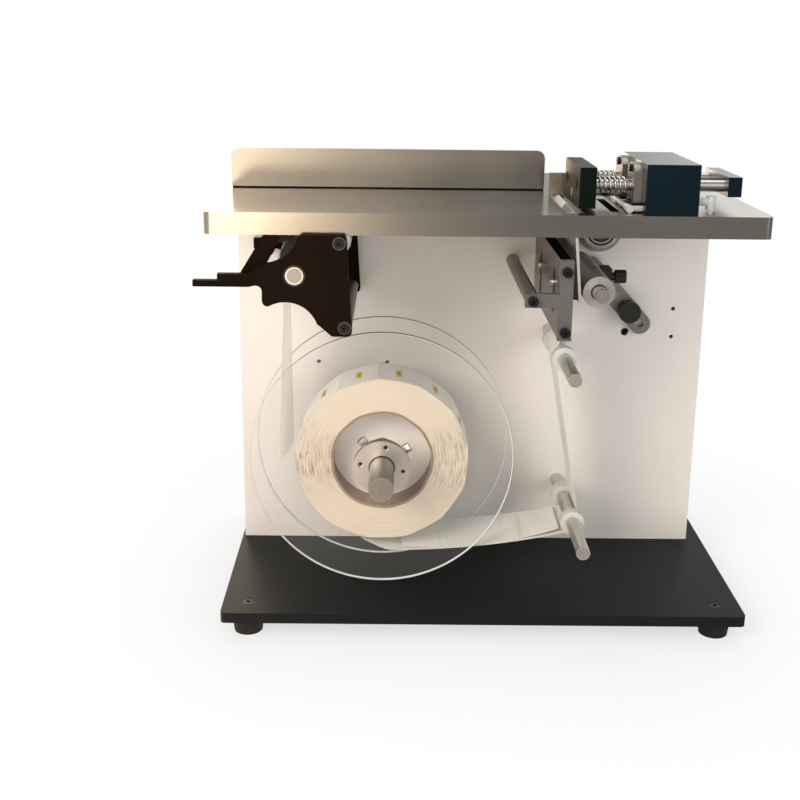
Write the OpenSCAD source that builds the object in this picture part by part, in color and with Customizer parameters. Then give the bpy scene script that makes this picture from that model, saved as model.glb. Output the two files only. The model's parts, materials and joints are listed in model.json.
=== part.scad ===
/* [Base] */
// width of the base plate, left to right
base_w = 385; // [370:1:400]
// depth of the base plate, front to back
base_d = 240; // [236:1:260]
// thickness of the base plate
base_t = 8; // [6:0.5:12]
// height of each rubber foot
foot_h = 14; // [10:1:20]
// upper diameter of each rubber foot
foot_d = 25; // [20:1:30]
// distance of each foot axis from the plate edges
foot_inset = 18.5; // [16:0.5:24]

/* [Cabinet] */
// distance of the panel face behind the front edge of the base
panel_y = 134; // [130:1:140]
// width of the front panel
panel_w = 371; // [366:1:374]
// sheet thickness of the panel
panel_t = 3; // [2:0.5:4]
// outside depth of the cabinet, panel included
cabinet_d = 98; // [94:1:100]
// sheet thickness of the rear housing
wall_t = 2; // [1.5:0.5:3]

/* [Table] */
// height of the table surface above the base plate
table_h = 295; // [292:1:300]
// width of the table
table_w = 381; // [379:1:386]
// shift of table and cabinet from the middle of the base, toward the left
table_shift = 5; // [4:1:7]
// overhang of the table in front of the base plate
table_over = 3; // [0:1:8]
// depth of the table
table_d = 239; // [236:1:244]
// sheet thickness of the table
table_t = 2; // [1.5:0.5:2.5]
// height of the folded lip
lip_h = 15; // [13:1:16]
// corner radius of the table
table_r = 5; // [3:0.5:6]

/* [Fence] */
// length of the fence
fence_l = 240; // [200:1:241]
// height of the fence above the table
fence_h = 30; // [20:1:40]
// thickness of the fence plate
fence_t = 3; // [2:0.5:4]
// distance of the fence face behind the front edge of the base
fence_y = 123; // [121:1:124]

/* [Pusher] */
// left face of the push block, from the middle of the base
block_x = 58; // [57:0.5:59]
// thickness of the push block
block_t = 11.5; // [11:0.5:12.5]
// depth of the push block
block_d = 68; // [66:1:72]
// height of the push block
block_h = 28; // [25:1:30]
// stroke of the pusher
stroke = 14; // [8:1:14]
// left face of the pusher body, from the middle of the base
body_x = 100; // [99:0.5:102]
// thickness of the pusher body
body_w = 36; // [34:1:40]
// depth of the pusher body
body_d = 86; // [85:1:94]
// height of the pusher body
body_h = 33.4; // [32:0.2:36]
// distance between the two guide rods
rod_pitch = 44; // [42:1:46]
// diameter of the guide rods
guide_d = 8; // [6:0.5:8.5]
// wire diameter of the return springs
wire_d = 1.4; // [1:0.1:1.5]
// number of turns of each return spring
spring_turns = 6; // [4:1:6]

/* [Peel unit] */
// left face of the slotted plate, from the middle of the base
plate_x = 44; // [43:0.5:45]
// thickness of the slotted plate
plate_t = 8; // [7:0.5:8.5]
// thickness of the T-bracket
bracket_t = 6; // [4:0.5:7]
// width of the T-bracket bars
bracket_w = 9.4; // [9:0.2:10]
// thickness of the peel plate
peel_t = 2; // [1.5:0.25:2.5]
// travel of the peel plate in height
peel_travel = 3; // [1:0.5:4]
// diameter of the return roller
roller_d = 22; // [18:1:23]

/* [Web rods] */
// diameter of the rods that lead the web
web_rod_d = 10; // [8:0.5:11]
// outside diameter of the collars
collar_d = 18; // [16:1:20]
// width of each collar
collar_w = 8; // [6:0.5:9]
// width of the web
web_w = 43; // [38:1:43]
// thickness of the web
web_t = 0.4; // [0.3:0.05:0.5]
// sag of the web between the roll and the lower rod
web_sag = 8.5; // [0:0.5:10]

/* [Reel] */
// height of the reel axis above the base plate
reel_h = 101.2; // [101:0.2:105]
// diameter of the clear discs
disc_d = 197; // [180:1:198]
// thickness of the clear discs
disc_t = 3; // [2:0.5:3]
// outside diameter of the label roll
roll_d = 130; // [100:1:140]
// inside diameter of the paper core
core_d = 76; // [74:1:78]
// wall thickness of the paper core
core_wall = 2; // [1.5:0.5:4]
// diameter of the spindle
spindle_d = 18; // [16:0.5:20]
// reach of the spindle in front of the base plate
spindle_out = 10; // [8:1:12]
// diameter of the lock hub flange
hub_d = 42; // [38:1:46]

/* [Drive unit] */
// thickness of the drive side plates
drive_t = 6; // [4:0.5:6]
// diameter of the drive roller
drive_d = 31; // [28:0.5:31]
// diameter of the nip roller
nip_d = 24; // [20:0.5:24]
// diameter of the drive shaft
drive_shaft_d = 10; // [8:0.5:11]
// reach of the lever tip to the left of the middle of the base
lever_reach = 204; // [198:1:210]

/* [Hidden] */
$fn = 40;
eps = 0.02;
run_c = 0.1;
gap = 0.3;
hole_c = 0.2;
off_x = (lever_reach - base_w / 2) / 2;
screw_out = 13;
off_y = -(base_d - screw_out) / 2;
z0 = foot_h + base_t;
zt = z0 + table_h;
zu = zt - table_t;
tab_l = -table_shift - table_w / 2;
tab_r = -table_shift + table_w / 2;
pan_l = -table_shift - panel_w / 2;
pan_r = -table_shift + panel_w / 2;
pan_b = panel_y + panel_t;
low_rail_d = 16;
top_rail_d = 12;
m4 = 4;
m4_head = 7;
m5 = 5;
m3 = 3;
foot_head_d = 8;
foot_head_h = 3;
spigot_d = 6;
front_y = -9;
plate_z1 = z0 + 210;
plate_z2 = z0 + 265;
arm_t_z = z0 + 237.7;
stand_x = 25.8;
stand_d = 10;
screw_x = plate_x + plate_t / 2;
screw_z = [plate_z2 - 7.2, plate_z1 + 6.2];
tip_z = zt - 0.2;
tip_x = 54.4;
peel_z = z0 + 233;
peel_lean = 0.0953;
ret_x = 72.7;
ret_z = z0 + 240.8;
ret_shaft_d = 10;
up_x = 57.1;
up_z = z0 + 181.8;
low_x = 68.9;
low_z = z0 + 53.5;
pin_x = 45;
pin_z = z0 + 288.5 + (table_h - 295) - (table_t - 2);
pin_d = 6;
reel_x = -75.4;
reel_z = z0 + reel_h;
web_y = 74;
web_y1 = web_y - web_w / 2;
web_y2 = web_y + web_w / 2;
disc_in = web_w / 2 + 1;
front_disc_y = web_y - disc_in - disc_t;
rear_disc_y = web_y + disc_in;
hub_y = front_disc_y - 17;
plug_in = 20;
hub_flange_t = 5;
hub_barrel_d = 34;
house_d = 36;
house_t = 12;
spare_x = 93;
spare_z = z0 + 264;
drv_x = -134.4;
drv_z = z0 + 253.3;
drv_plate_y = front_y;
rear_plate_y = panel_y - drive_t;
nip_gap = web_t + 2 * gap;
nip_dist = (drive_d + nip_d) / 2 + nip_gap;
nip_dir = [-0.584, 0.812];
nip_x = drv_x + nip_dist * nip_dir[0];
nip_z = drv_z + nip_dist * nip_dir[1];
piv_x = -166;
piv_z = z0 + 250.25;
piv_d = 6;
drive_top = z0 + 281;
drive_arm_z = z0 + 246.4;
drive_arm_h = 7.7;
front_reach = 186;
rear_reach = 178;
spacers = [[-104.4, z0 + 275.4], [-100.9, z0 + 217.6]];
arm_x = 129;
arm_z = z0 + 188;
arm_a = 132;
arm_l = 61;
arm_pin_d = 5;
arm_r = 8.3;
arm_t = 5;
stud_s = 15.5;
stud_x = arm_x + stud_s * cos(arm_a);
stud_z = arm_z + stud_s * sin(arm_a);
arm_ex = arm_x + arm_l * cos(arm_a);
arm_ez = arm_z + arm_l * sin(arm_a);
stud_d = 5;
knob_d = 17.6;
rod_z = zt + 16.3;
rod_yc = 54;
rod_y = [rod_yc - rod_pitch / 2, rod_yc + rod_pitch / 2];
block_z = zt + 1.2;
body_y = rod_yc - 50;
plunger_z = zt + 8.5;
plunger_d = 6;
flange_t = 5;
flange_d = 32;
flange_k = 24;
flange_pcd = 24;
bush_d = 15;
bush_l = 19;
rod_out = 24.4;
end_x = body_x + body_w + rod_out;
end_t = 9.5;
hose_d = 4;
hose_ax = body_x + body_w + 10;
hose_ay = body_y + 8.5;
hose_bx = body_x - 9;
hose_z = zt - 9.5;
hose_r = 8;
elbow_z = zt + 8;
stem_bz = zt + 2.8;
fence_x2 = 47;
fence_x1 = fence_x2 - fence_l;
fence_screws = [fence_x1 + 30, fence_x2 - 30];
fence_sy = fence_y + fence_t + 16;
guide_y = rod_yc + 43;
foot_pos = [
    for (sx = [-1, 1])
        for (y = [foot_inset, base_d - foot_inset])
            [sx * (base_w / 2 - foot_inset), y]
];
panel_studs = [[stand_x, arm_t_z], [up_x, up_z], [low_x, low_z], [ret_x, ret_z], spacers[0], spacers[1]];
pair_x = 156.1;
pair_z = z0 + 176.4;
pair_pitch = 23.1;
row_x = -127.8;
row_z = z0 + 152.8;
row_pitch = 55.3;
small_holes = [[pair_x, pair_z], [pair_x, pair_z + pair_pitch], [row_x, row_z], [row_x + row_pitch, row_z]];
cable_x = 118.4;
cable_z = z0 + 180.1;
cable_d = 6.4;

module at_base() {
    translate([off_x, off_y, 0])
        children();
}

module bar(x1, x2, y1, y2, z1, z2) {
    translate([x1, y1, z1])
        cube([x2 - x1, y2 - y1, z2 - z1]);
}

module rod_along_y(x, z, y1, y2, d) {
    translate([x, y1, z])
        rotate([-90, 0, 0])
            cylinder(d = d, h = y2 - y1);
}

module rod_along_x(x1, x2, y, z, d) {
    translate([x1, y, z])
        rotate([0, 90, 0])
            cylinder(d = d, h = x2 - x1);
}

module rod_along_z(x, y, z1, z2, d) {
    translate([x, y, z1])
        cylinder(d = d, h = z2 - z1);
}

module ring_along_y(x, z, y1, y2, d_out, d_in) {
    difference() {
        rod_along_y(x, z, y1, y2, d_out);
        rod_along_y(x, z, y1 - 1, y2 + 1, d_in);
    }
}

// profile drawn in width and height, given depth
module slab(y1, y2) {
    translate([0, y2, 0])
        rotate([90, 0, 0])
            linear_extrude(height = y2 - y1)
                children();
}

// socket head along depth, head face at y, shank toward the back
module cap_y(x, z, y, l) {
    difference() {
        rod_along_y(x, z, y, y + m4, m4_head);
        translate([x, y - 1, z])
            rotate([-90, 0, 0])
                cylinder(d = 3.4, h = 3.2, $fn = 6);
    }
    rod_along_y(x, z, y + m4 - eps, y + m4 + l, m4);
}

// socket head standing upright, under face of the head at z, shank downward
module cap_z(x, y, z, l) {
    difference() {
        rod_along_z(x, y, z, z + m4, m4_head);
        translate([x, y, z + m4 - 2.2])
            cylinder(d = 3.4, h = 3, $fn = 6);
    }
    rod_along_z(x, y, z - l, z + eps, m4);
}

// rod that stands off the panel with a spigot through the sheet
module stud_rod(x, z, y, d) {
    rod_along_y(x, z, y, panel_y, d);
    rod_along_y(x, z, panel_y - eps, pan_b, spigot_d);
}

function unit(v) = v / norm(v);
function side(a, b) = let (u = unit(b - a)) [-u[1], u[0]];
function mid_side(p, i) =
    i == 0 ? side(p[0], p[1]) :
    i == len(p) - 1 ? side(p[i - 1], p[i]) :
    unit(side(p[i - 1], p[i]) + side(p[i], p[i + 1]));
function strip(p, t) = concat(
    [for (i = [0 : len(p) - 1]) p[i] + mid_side(p, i) * t / 2],
    [for (i = [len(p) - 1 : -1 : 0]) p[i] - mid_side(p, i) * t / 2]
);
function arc(x, z, r, a1, a2, n) = [
    for (i = [0 : n]) let (a = a1 + (a2 - a1) * i / n) [x + r * cos(a), z + r * sin(a)]
];

module base_plate() {
    at_base()
        color("DimGray")
            difference() {
                translate([0, base_d / 2, foot_h])
                    linear_extrude(height = base_t)
                        offset(r = 4)
                            square([base_w - 8, base_d - 8], center = true);
                for (p = foot_pos) {
                    rod_along_z(p[0], p[1], foot_h - 1, z0 + 1, m5 + hole_c);
                    rod_along_z(p[0], p[1], z0 - foot_head_h - 0.2, z0 + 1, foot_head_d + 2 * hole_c);
                }
                for (x = [pan_l + 30, pan_r - 30])
                    for (y = [pan_b + 8, panel_y + cabinet_d - 8])
                        rod_along_z(x, y, foot_h + 1, z0 + 1, m4 + hole_c);
            }
}

module feet() {
    at_base()
        color("Black")
            for (p = foot_pos)
                difference() {
                    translate([p[0], p[1], 0])
                        cylinder(d1 = foot_d - 4, d2 = foot_d, h = foot_h);
                    rod_along_z(p[0], p[1], foot_h - 9, foot_h + 1, m5 + hole_c);
                }
}

module foot_screws() {
    at_base()
        color("Silver")
            for (p = foot_pos) {
                difference() {
                    rod_along_z(p[0], p[1], z0 - foot_head_h - 0.2, z0 - 0.2, foot_head_d);
                    translate([p[0], p[1], z0 - 1.8])
                        cylinder(d = 3.6, h = 3, $fn = 6);
                }
                rod_along_z(p[0], p[1], foot_h - 8, z0 - foot_head_h - 0.2 + eps, m5);
            }
}

module front_panel() {
    at_base()
        color("Linen")
            difference() {
                bar(pan_l, pan_r, panel_y, pan_b, z0, zu);
                for (p = panel_studs)
                    rod_along_y(p[0], p[1], panel_y - 1, pan_b + 1, spigot_d);
                rod_along_y(pin_x, pin_z, panel_y - 1, pan_b + 1, pin_d - 2);
                rod_along_y(reel_x, reel_z, panel_y - 1, pan_b + 1, spindle_d + 2);
                rod_along_y(drv_x, drv_z, panel_y - 1, pan_b + 1, drive_shaft_d + 2);
                rod_along_y(piv_x, piv_z, panel_y - 1, pan_b + 1, piv_d);
                rod_along_y(stud_x, stud_z, panel_y - 1, pan_b + 1, stud_d);
                rod_along_y(cable_x, cable_z, panel_y - 1, pan_b + 1, cable_d);
                for (p = small_holes)
                    rod_along_y(p[0], p[1], panel_y - 1, pan_b + 1, 3.3);
                for (x = [hose_ax, hose_bx])
                    rod_along_y(x, hose_z, panel_y - 1, pan_b + 1, hose_d + 2);
            }
}

module panel_rails() {
    at_base()
        color("Linen")
            difference() {
                union() {
                    bar(pan_l, pan_r, pan_b, pan_b + low_rail_d, z0, z0 + panel_t);
                    bar(pan_l, pan_r, pan_b, pan_b + top_rail_d, zu - panel_t, zu);
                }
                for (x = [pan_l + 30, pan_r - 30])
                    rod_along_z(x, pan_b + 8, z0 - 1, z0 + panel_t + 1, m4 + 0.4);
                for (x = fence_screws)
                    rod_along_z(x, fence_sy, zu - panel_t - 1, zu + 1, m4 + hole_c);
            }
}

module rear_housing() {
    at_base()
        color("Linen")
            difference() {
                union() {
                    difference() {
                        bar(pan_l, pan_r, pan_b, panel_y + cabinet_d, z0, zu);
                        bar(pan_l + wall_t, pan_r - wall_t, pan_b - 1, panel_y + cabinet_d - wall_t, z0 - 1, zu + 1);
                    }
                    bar(pan_l, pan_r, panel_y + cabinet_d - 14, panel_y + cabinet_d, z0, z0 + wall_t);
                }
                bar(pan_l - 1, pan_l + wall_t + eps, pan_b - 1, pan_b + low_rail_d + hole_c, z0 - 1, z0 + panel_t + 0.2);
                bar(pan_r - wall_t - eps, pan_r + 1, pan_b - 1, pan_b + low_rail_d + hole_c, z0 - 1, z0 + panel_t + 0.2);
                bar(pan_l - 1, pan_l + wall_t + eps, pan_b - 1, pan_b + top_rail_d + hole_c, zu - panel_t - 0.2, zu + 1);
                bar(pan_r - wall_t - eps, pan_r + 1, pan_b - 1, pan_b + top_rail_d + hole_c, zu - panel_t - 0.2, zu + 1);
                for (i = [0 : 5])
                    translate([-table_shift + 60 + i * 12, panel_y + cabinet_d - wall_t - 1, z0 + 150])
                        cube([5, wall_t + 2, 60]);
                bar(-150, -102, panel_y + cabinet_d - wall_t - 1, panel_y + cabinet_d + 1, z0 + 40, z0 + 68);
                for (x = [pan_l + 30, pan_r - 30])
                    rod_along_z(x, panel_y + cabinet_d - 8, z0 - 1, z0 + wall_t + 1, m4 + 0.4);
            }
}

module table_top() {
    at_base()
        color("Silver")
            difference() {
                translate([tab_l + table_w / 2, table_d / 2 - table_over, zt - lip_h])
                    linear_extrude(height = lip_h)
                        offset(r = table_r)
                            square([table_w - 2 * table_r, table_d - 2 * table_r], center = true);
                translate([tab_l + table_w / 2, table_d / 2 - table_over, zt - lip_h - 1])
                    linear_extrude(height = lip_h + 1 - table_t)
                        offset(r = table_r - table_t)
                            square([table_w - 2 * table_r, table_d - 2 * table_r], center = true);
                bar(79.5, 85.5, 15, 78, zu - 1, zt + 1);
                bar(47.4, 60.6, 6, 102, zu - 1, zt + 1);
                for (x = fence_screws)
                    rod_along_z(x, fence_sy, zu - 1, zt + 1, m4 + hole_c);
                for (x = [block_x, block_x + 12])
                    rod_along_z(x, guide_y + 9, zu - 1, zt + 1, m4 + hole_c);
                rod_along_z(hose_ax, hose_ay, zu - 1, zt + 1, hose_d + 3);
                bar(hose_bx - 3.5, hose_bx + 3.5, rod_yc + 28, rod_yc + 42, zu - 1, zt + 1);
            }
}

module fence() {
    at_base()
        color("Gainsboro")
            difference() {
                union() {
                    slab(fence_y, fence_y + fence_t)
                        translate([fence_x1, zt + 1])
                            difference() {
                                square([fence_l, fence_h - 1]);
                                for (s = [0, 1])
                                    translate([s * (fence_l - 6), fence_h - 7])
                                        difference() {
                                            square([6, 7]);
                                            translate([(1 - s) * 6, 0])
                                                circle(r = 6);
                                        }
                            }
                    bar(fence_x1 + 8, fence_x2 - 8, fence_y + fence_t - eps, fence_y + fence_t + 30, zt + 1, zt + 3.2);
                    bar(fence_x1 + 8, fence_x2 - 8, fence_y + fence_t + 4, fence_y + fence_t + 30, zt, zt + 3.2);
                }
                for (x = fence_screws) {
                    bar(x - m4 / 2 - 0.3, x + m4 / 2 + 0.3, fence_sy - 8, fence_sy + 8, zt - 1, zt + 5);
                    for (y = [fence_sy - 8, fence_sy + 8])
                        rod_along_z(x, y, zt - 1, zt + 5, m4 + 0.6);
                }
            }
}

module side_guide() {
    at_base()
        color("LightGray")
            difference() {
                union() {
                    bar(47.5, block_x + 18, guide_y, guide_y + 2, zt + 0.8, zt + 16.5);
                    bar(50, block_x + 18, guide_y + 2 - eps, guide_y + 15, zt, zt + 2);
                    bar(50, block_x + 18, guide_y, guide_y + 3, zt + 0.8, zt + 2);
                }
                for (x = [block_x, block_x + 12])
                    rod_along_z(x, guide_y + 9, zt - 1, zt + 3, m4 + 0.4);
            }
}

module pusher_body() {
    at_base()
        color("MidnightBlue")
            difference() {
                bar(body_x, body_x + body_w, body_y, body_y + body_d, zt, zt + body_h);
                for (y = rod_y) {
                    rod_along_x(body_x - 1, body_x + bush_l + 1, y, rod_z, bush_d);
                    rod_along_x(body_x, body_x + body_w + 1, y, rod_z, guide_d + 1);
                    for (s = [-1, 1])
                        rod_along_x(body_x - 1, body_x + 9, y, rod_z + s * flange_pcd / 2, m3 + hole_c);
                }
                rod_along_x(body_x - 1, body_x + body_w - 3, rod_yc, plunger_z, plunger_d + run_c);
                rod_along_x(body_x + body_w - 7, body_x + body_w + 1, hose_ay, elbow_z, spigot_d);
                rod_along_x(body_x - 1, body_x + 7, hose_ay, stem_bz, 4);
            }
}

module flange_bushings() {
    at_base()
        color("Silver")
            for (y = rod_y)
                difference() {
                    union() {
                        intersection() {
                            rod_along_x(body_x - flange_t, body_x, y, rod_z, flange_d);
                            bar(body_x - flange_t, body_x, y - flange_k / 2, y + flange_k / 2, zt, zt + 60);
                        }
                        rod_along_x(body_x - eps, body_x + bush_l, y, rod_z, bush_d);
                    }
                    rod_along_x(body_x - flange_t - 1, body_x + bush_l + 1, y, rod_z, guide_d + run_c);
                    for (s = [-1, 1])
                        rod_along_x(body_x - flange_t - 1, body_x + 1, y, rod_z + s * flange_pcd / 2, m3 + hole_c);
                }
}

module bushing_screws() {
    at_base()
        color("DimGray")
            for (y = rod_y)
                for (s = [-1, 1]) {
                    difference() {
                        rod_along_x(body_x - flange_t - 2, body_x - flange_t, y, rod_z + s * flange_pcd / 2, 5.5);
                        translate([body_x - flange_t - 3, y, rod_z + s * flange_pcd / 2])
                            rotate([0, 90, 0])
                                cylinder(d = 2.4, h = 2.2, $fn = 6);
                    }
                    rod_along_x(body_x - flange_t - eps, body_x + 8, y, rod_z + s * flange_pcd / 2, m3);
                }
}

module push_block() {
    at_base()
        color("Black")
            difference() {
                bar(block_x, block_x + block_t, rod_yc - block_d / 2, rod_yc + block_d / 2, block_z, block_z + block_h);
                for (y = rod_y) {
                    rod_along_x(block_x - 1, block_x + block_t + 1, y, rod_z, m5 + hole_c);
                    rod_along_x(block_x - 1, block_x + 5.4, y, rod_z, 9);
                }
                rod_along_x(block_x - 1, block_x + block_t + 1, rod_yc, plunger_z, plunger_d);
            }
}

// socket screw along the rods: head face at x, d pointing from head to shank
module rod_screw(x, y, d) {
    difference() {
        rod_along_x(min(x, x + 5 * d), max(x, x + 5 * d), y, rod_z, 8.5);
        translate([x - d, y, rod_z])
            rotate([0, 90 * d, 0])
                cylinder(d = 4.4, h = 3.5, $fn = 6);
    }
    rod_along_x(min(x + 5 * d - eps * d, x + 16 * d), max(x + 5 * d - eps * d, x + 16 * d), y, rod_z, m5);
}

module pusher_screws() {
    at_base()
        color("DimGray")
            for (y = rod_y) {
                rod_screw(block_x + 0.4, y, 1);
                rod_screw(end_x + end_t - 0.4, y, -1);
            }
}

module guide_rods() {
    at_base()
        color("Silver")
            for (y = rod_y)
                difference() {
                    rod_along_x(block_x + block_t, end_x, y, rod_z, guide_d);
                    rod_along_x(block_x + block_t - 1, block_x + block_t + 12, y, rod_z, m5 + hole_c);
                    rod_along_x(end_x - 12, end_x + 1, y, rod_z, m5 + hole_c);
                }
}

module plunger_rod() {
    at_base()
        color("Silver")
            rod_along_x(block_x - 0.3, body_x + body_w - 5 - stroke, rod_yc, plunger_z, plunger_d);
}

module rod_end_plate() {
    at_base()
        color("Silver")
            difference() {
                bar(end_x, end_x + end_t, rod_y[0] - 8, rod_y[1] + 8, rod_z - 6.8, rod_z + 6.8);
                for (y = rod_y) {
                    rod_along_x(end_x - 1, end_x + end_t + 1, y, rod_z, m5 + hole_c);
                    rod_along_x(end_x + end_t - 5.4, end_x + end_t + 1, y, rod_z, 9);
                }
            }
}

// centre line of a return spring: straight lead-in, curls, straight lead-out
spring_x1 = block_x + block_t + gap;
spring_x2 = body_x - flange_t - gap;
spring_r = (guide_d + 0.9 + wire_d) / 2;
spring_rings = 8;
curl_x1 = spring_x1 + 1.6 * wire_d;
curl_x2 = spring_x2 - 1.6 * wire_d;
curl_n = spring_turns * spring_rings;
function spring_line() = concat(
    [[spring_x1, spring_r, 0], [spring_x1 + wire_d, spring_r, 0]],
    [for (i = [1 : curl_n - 1])
        let (a = 360 * i / spring_rings, x = curl_x1 + (curl_x2 - curl_x1) * i / curl_n)
            [x, spring_r * cos(a), spring_r * sin(a)]],
    [[spring_x2 - wire_d, spring_r, 0], [spring_x2, spring_r, 0]]
);
function heading(p, i) =
    i <= 1 || i >= len(p) - 2 ? [1, 0, 0] : unit(p[i + 1] - p[i - 1]);
function tube_points(p, d, n) = [
    for (i = [0 : len(p) - 1])
        let (h = heading(p, i), r0 = [0, p[i][1], p[i][2]], r1 = unit(r0 - h * (h * r0)), r2 = cross(h, r1))
            for (k = [0 : n - 1])
                p[i] + d / 2 * (r1 * cos(360 * k / n) + r2 * sin(360 * k / n))
];
function tube_faces(m, n) = concat(
    [for (k = [1 : n - 2]) [0, k, k + 1]],
    [for (i = [0 : m - 2]) for (k = [0 : n - 1]) [i * n + k, (i + 1) * n + k, (i + 1) * n + (k + 1) % n]],
    [for (i = [0 : m - 2]) for (k = [0 : n - 1]) [i * n + k, (i + 1) * n + (k + 1) % n, i * n + (k + 1) % n]],
    [for (k = [1 : n - 2]) let (b = (m - 1) * n) [b, b + k + 1, b + k]]
);
spring_pts = spring_line();
spring_gap = min([
    for (i = [0 : len(spring_pts) - spring_rings + 1])
        for (j = [i + spring_rings - 2 : min(len(spring_pts) - 1, i + spring_rings + 2)])
            norm(spring_pts[i] - spring_pts[j])
]) - wire_d;
echo(spring_gap = spring_gap);

module return_spring(y) {
    translate([0, y, rod_z])
        polyhedron(points = tube_points(spring_pts, wire_d, 6), faces = tube_faces(len(spring_pts), 6));
}

module spring_front() {
    at_base()
        color("Silver")
            return_spring(rod_y[0]);
}

module spring_rear() {
    at_base()
        color("Silver")
            return_spring(rod_y[1]);
}

module air_fittings() {
    at_base()
        color("LightGray")
            {
                difference() {
                    union() {
                        rod_along_x(body_x + body_w - 6, body_x + body_w + eps, hose_ay, elbow_z, spigot_d);
                        rod_along_x(body_x + body_w, hose_ax, hose_ay, elbow_z, 5.8);
                        rod_along_z(hose_ax, hose_ay, zt + 2.4, elbow_z + 3.8, 6.6);
                    }
                    rod_along_z(hose_ax, hose_ay, zt + 1, zt + 7, hose_d);
                }
                difference() {
                    union() {
                        rod_along_x(hose_bx, body_x + 6, hose_ay, stem_bz, 4);
                        rod_along_y(hose_bx, stem_bz, hose_ay - 3, hose_ay + 7, 5.2);
                    }
                    rod_along_y(hose_bx, stem_bz, hose_ay + 2, hose_ay + 8, hose_d);
                }
            }
}

// hose routes as centre lines in depth and height
function bend(y, z, r, a1, a2, n) = [for (i = [0 : n]) let (a = a1 + (a2 - a1) * i / n) [y + r * cos(a), z + r * sin(a)]];
route_a = concat(
    [[hose_ay, zt + 6.5], [hose_ay, hose_z + hose_r + 1]],
    bend(hose_ay + hose_r, hose_z + hose_r, hose_r, 180, 270, 5),
    [for (i = [1 : 11]) [hose_ay + hose_r + (pan_b + 12 - hose_ay - hose_r) * i / 11, hose_z]]
);
route_b_y = rod_yc + 30;
route_b = concat(
    [for (i = [0 : 6]) [hose_ay + 2.5 + (route_b_y - hose_ay - 2.5) * i / 6, stem_bz]],
    [for (i = [1 : 6])
        let (t = i / 6, s = (1 - cos(180 * t)) / 2)
            [route_b_y + 18 * t, stem_bz + (hose_z - stem_bz) * s]],
    [for (i = [1 : 4]) [route_b_y + 18 + (pan_b + 12 - route_b_y - 18) * i / 4, hose_z]]
);
function flat_heading(p, i) =
    i == 0 ? unit(p[1] - p[0]) :
    i == len(p) - 1 ? unit(p[i] - p[i - 1]) :
    unit(unit(p[i] - p[i - 1]) + unit(p[i + 1] - p[i]));
function hose_points(p, x, d, n) = [
    for (i = [0 : len(p) - 1])
        let (h = flat_heading(p, i), r1 = [1, 0, 0], r2 = [0, -h[1], h[0]])
            for (k = [0 : n - 1])
                [x, p[i][0], p[i][1]] + d / 2 * (r1 * cos(360 * k / n) - r2 * sin(360 * k / n))
];

module air_hoses() {
    at_base()
        color("LightSteelBlue")
            {
                polyhedron(points = hose_points(route_a, hose_ax, hose_d - 0.2, 10), faces = tube_faces(len(route_a), 10));
                polyhedron(points = hose_points(route_b, hose_bx, hose_d - 0.2, 10), faces = tube_faces(len(route_b), 10));
            }
}

module air_valve() {
    at_base()
        color("SlateGray")
            difference() {
                union() {
                    bar(hose_bx - 12, hose_ax + 12, pan_b + 6, pan_b + 32, hose_z - 14, hose_z + 4);
                    bar(hose_bx + 4, hose_bx + 34, pan_b, pan_b + 8, hose_z - 18, hose_z - 4);
                }
                for (x = [hose_ax, hose_bx])
                    rod_along_y(x, hose_z, pan_b + 4, pan_b + 13, hose_d);
            }
}

module t_bracket() {
    at_base()
        color("Gray")
            difference() {
                union() {
                    bar(screw_x - bracket_w / 2, screw_x + bracket_w / 2, front_y, front_y + bracket_t, plate_z1, plate_z2);
                    bar(stand_x - 5, screw_x, front_y, front_y + bracket_t,
                        arm_t_z - bracket_w / 2, arm_t_z + bracket_w / 2);
                }
                for (z = screw_z)
                    rod_along_y(screw_x, z, front_y - 1, front_y + bracket_t + 1, m4 + 0.4);
                rod_along_y(stand_x, arm_t_z, front_y - 1, front_y + bracket_t + 1, m4 + 0.4);
            }
}

module standoffs() {
    at_base()
        color("Silver")
            {
                difference() {
                    stud_rod(stand_x, arm_t_z, front_y + bracket_t, stand_d);
                    rod_along_y(stand_x, arm_t_z, front_y + bracket_t - 1, front_y + bracket_t + 14, m4 + hole_c);
                }
                for (p = spacers)
                    difference() {
                        union() {
                            rod_along_y(p[0], p[1], drv_plate_y + drive_t, rear_plate_y, stand_d);
                            rod_along_y(p[0], p[1], rear_plate_y - eps, pan_b, spigot_d);
                        }
                        rod_along_y(p[0], p[1], drv_plate_y + drive_t - 1, drv_plate_y + drive_t + 14, m4 + hole_c);
                    }
                rod_along_y(piv_x, piv_z, drv_plate_y + 1, pan_b, piv_d);
            }
}

module cap_screws() {
    at_base()
        color("Black")
            {
                for (z = screw_z)
                    cap_y(screw_x, z, -screw_out, bracket_t + 10);
                cap_y(stand_x, arm_t_z, front_y - m4, bracket_t + 10);
                for (p = spacers)
                    cap_y(p[0], p[1], drv_plate_y - 0.2, drive_t + 6);
                for (x = fence_screws)
                    cap_z(x, fence_sy, zt + 3.4, 3.4 + table_t + 2);
                for (x = [block_x, block_x + 12])
                    cap_z(x, guide_y + 9, zt + 2, table_t + 4);
                for (x = [pan_l + 30, pan_r - 30]) {
                    cap_z(x, pan_b + 8, z0 + panel_t, panel_t + 5);
                    cap_z(x, panel_y + cabinet_d - 8, z0 + wall_t, wall_t + 5);
                }
            }
}

slot_y = [24, 96];
slot_w = 4.6;
slot_z = [z0 + 244, z0 + 242];

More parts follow.
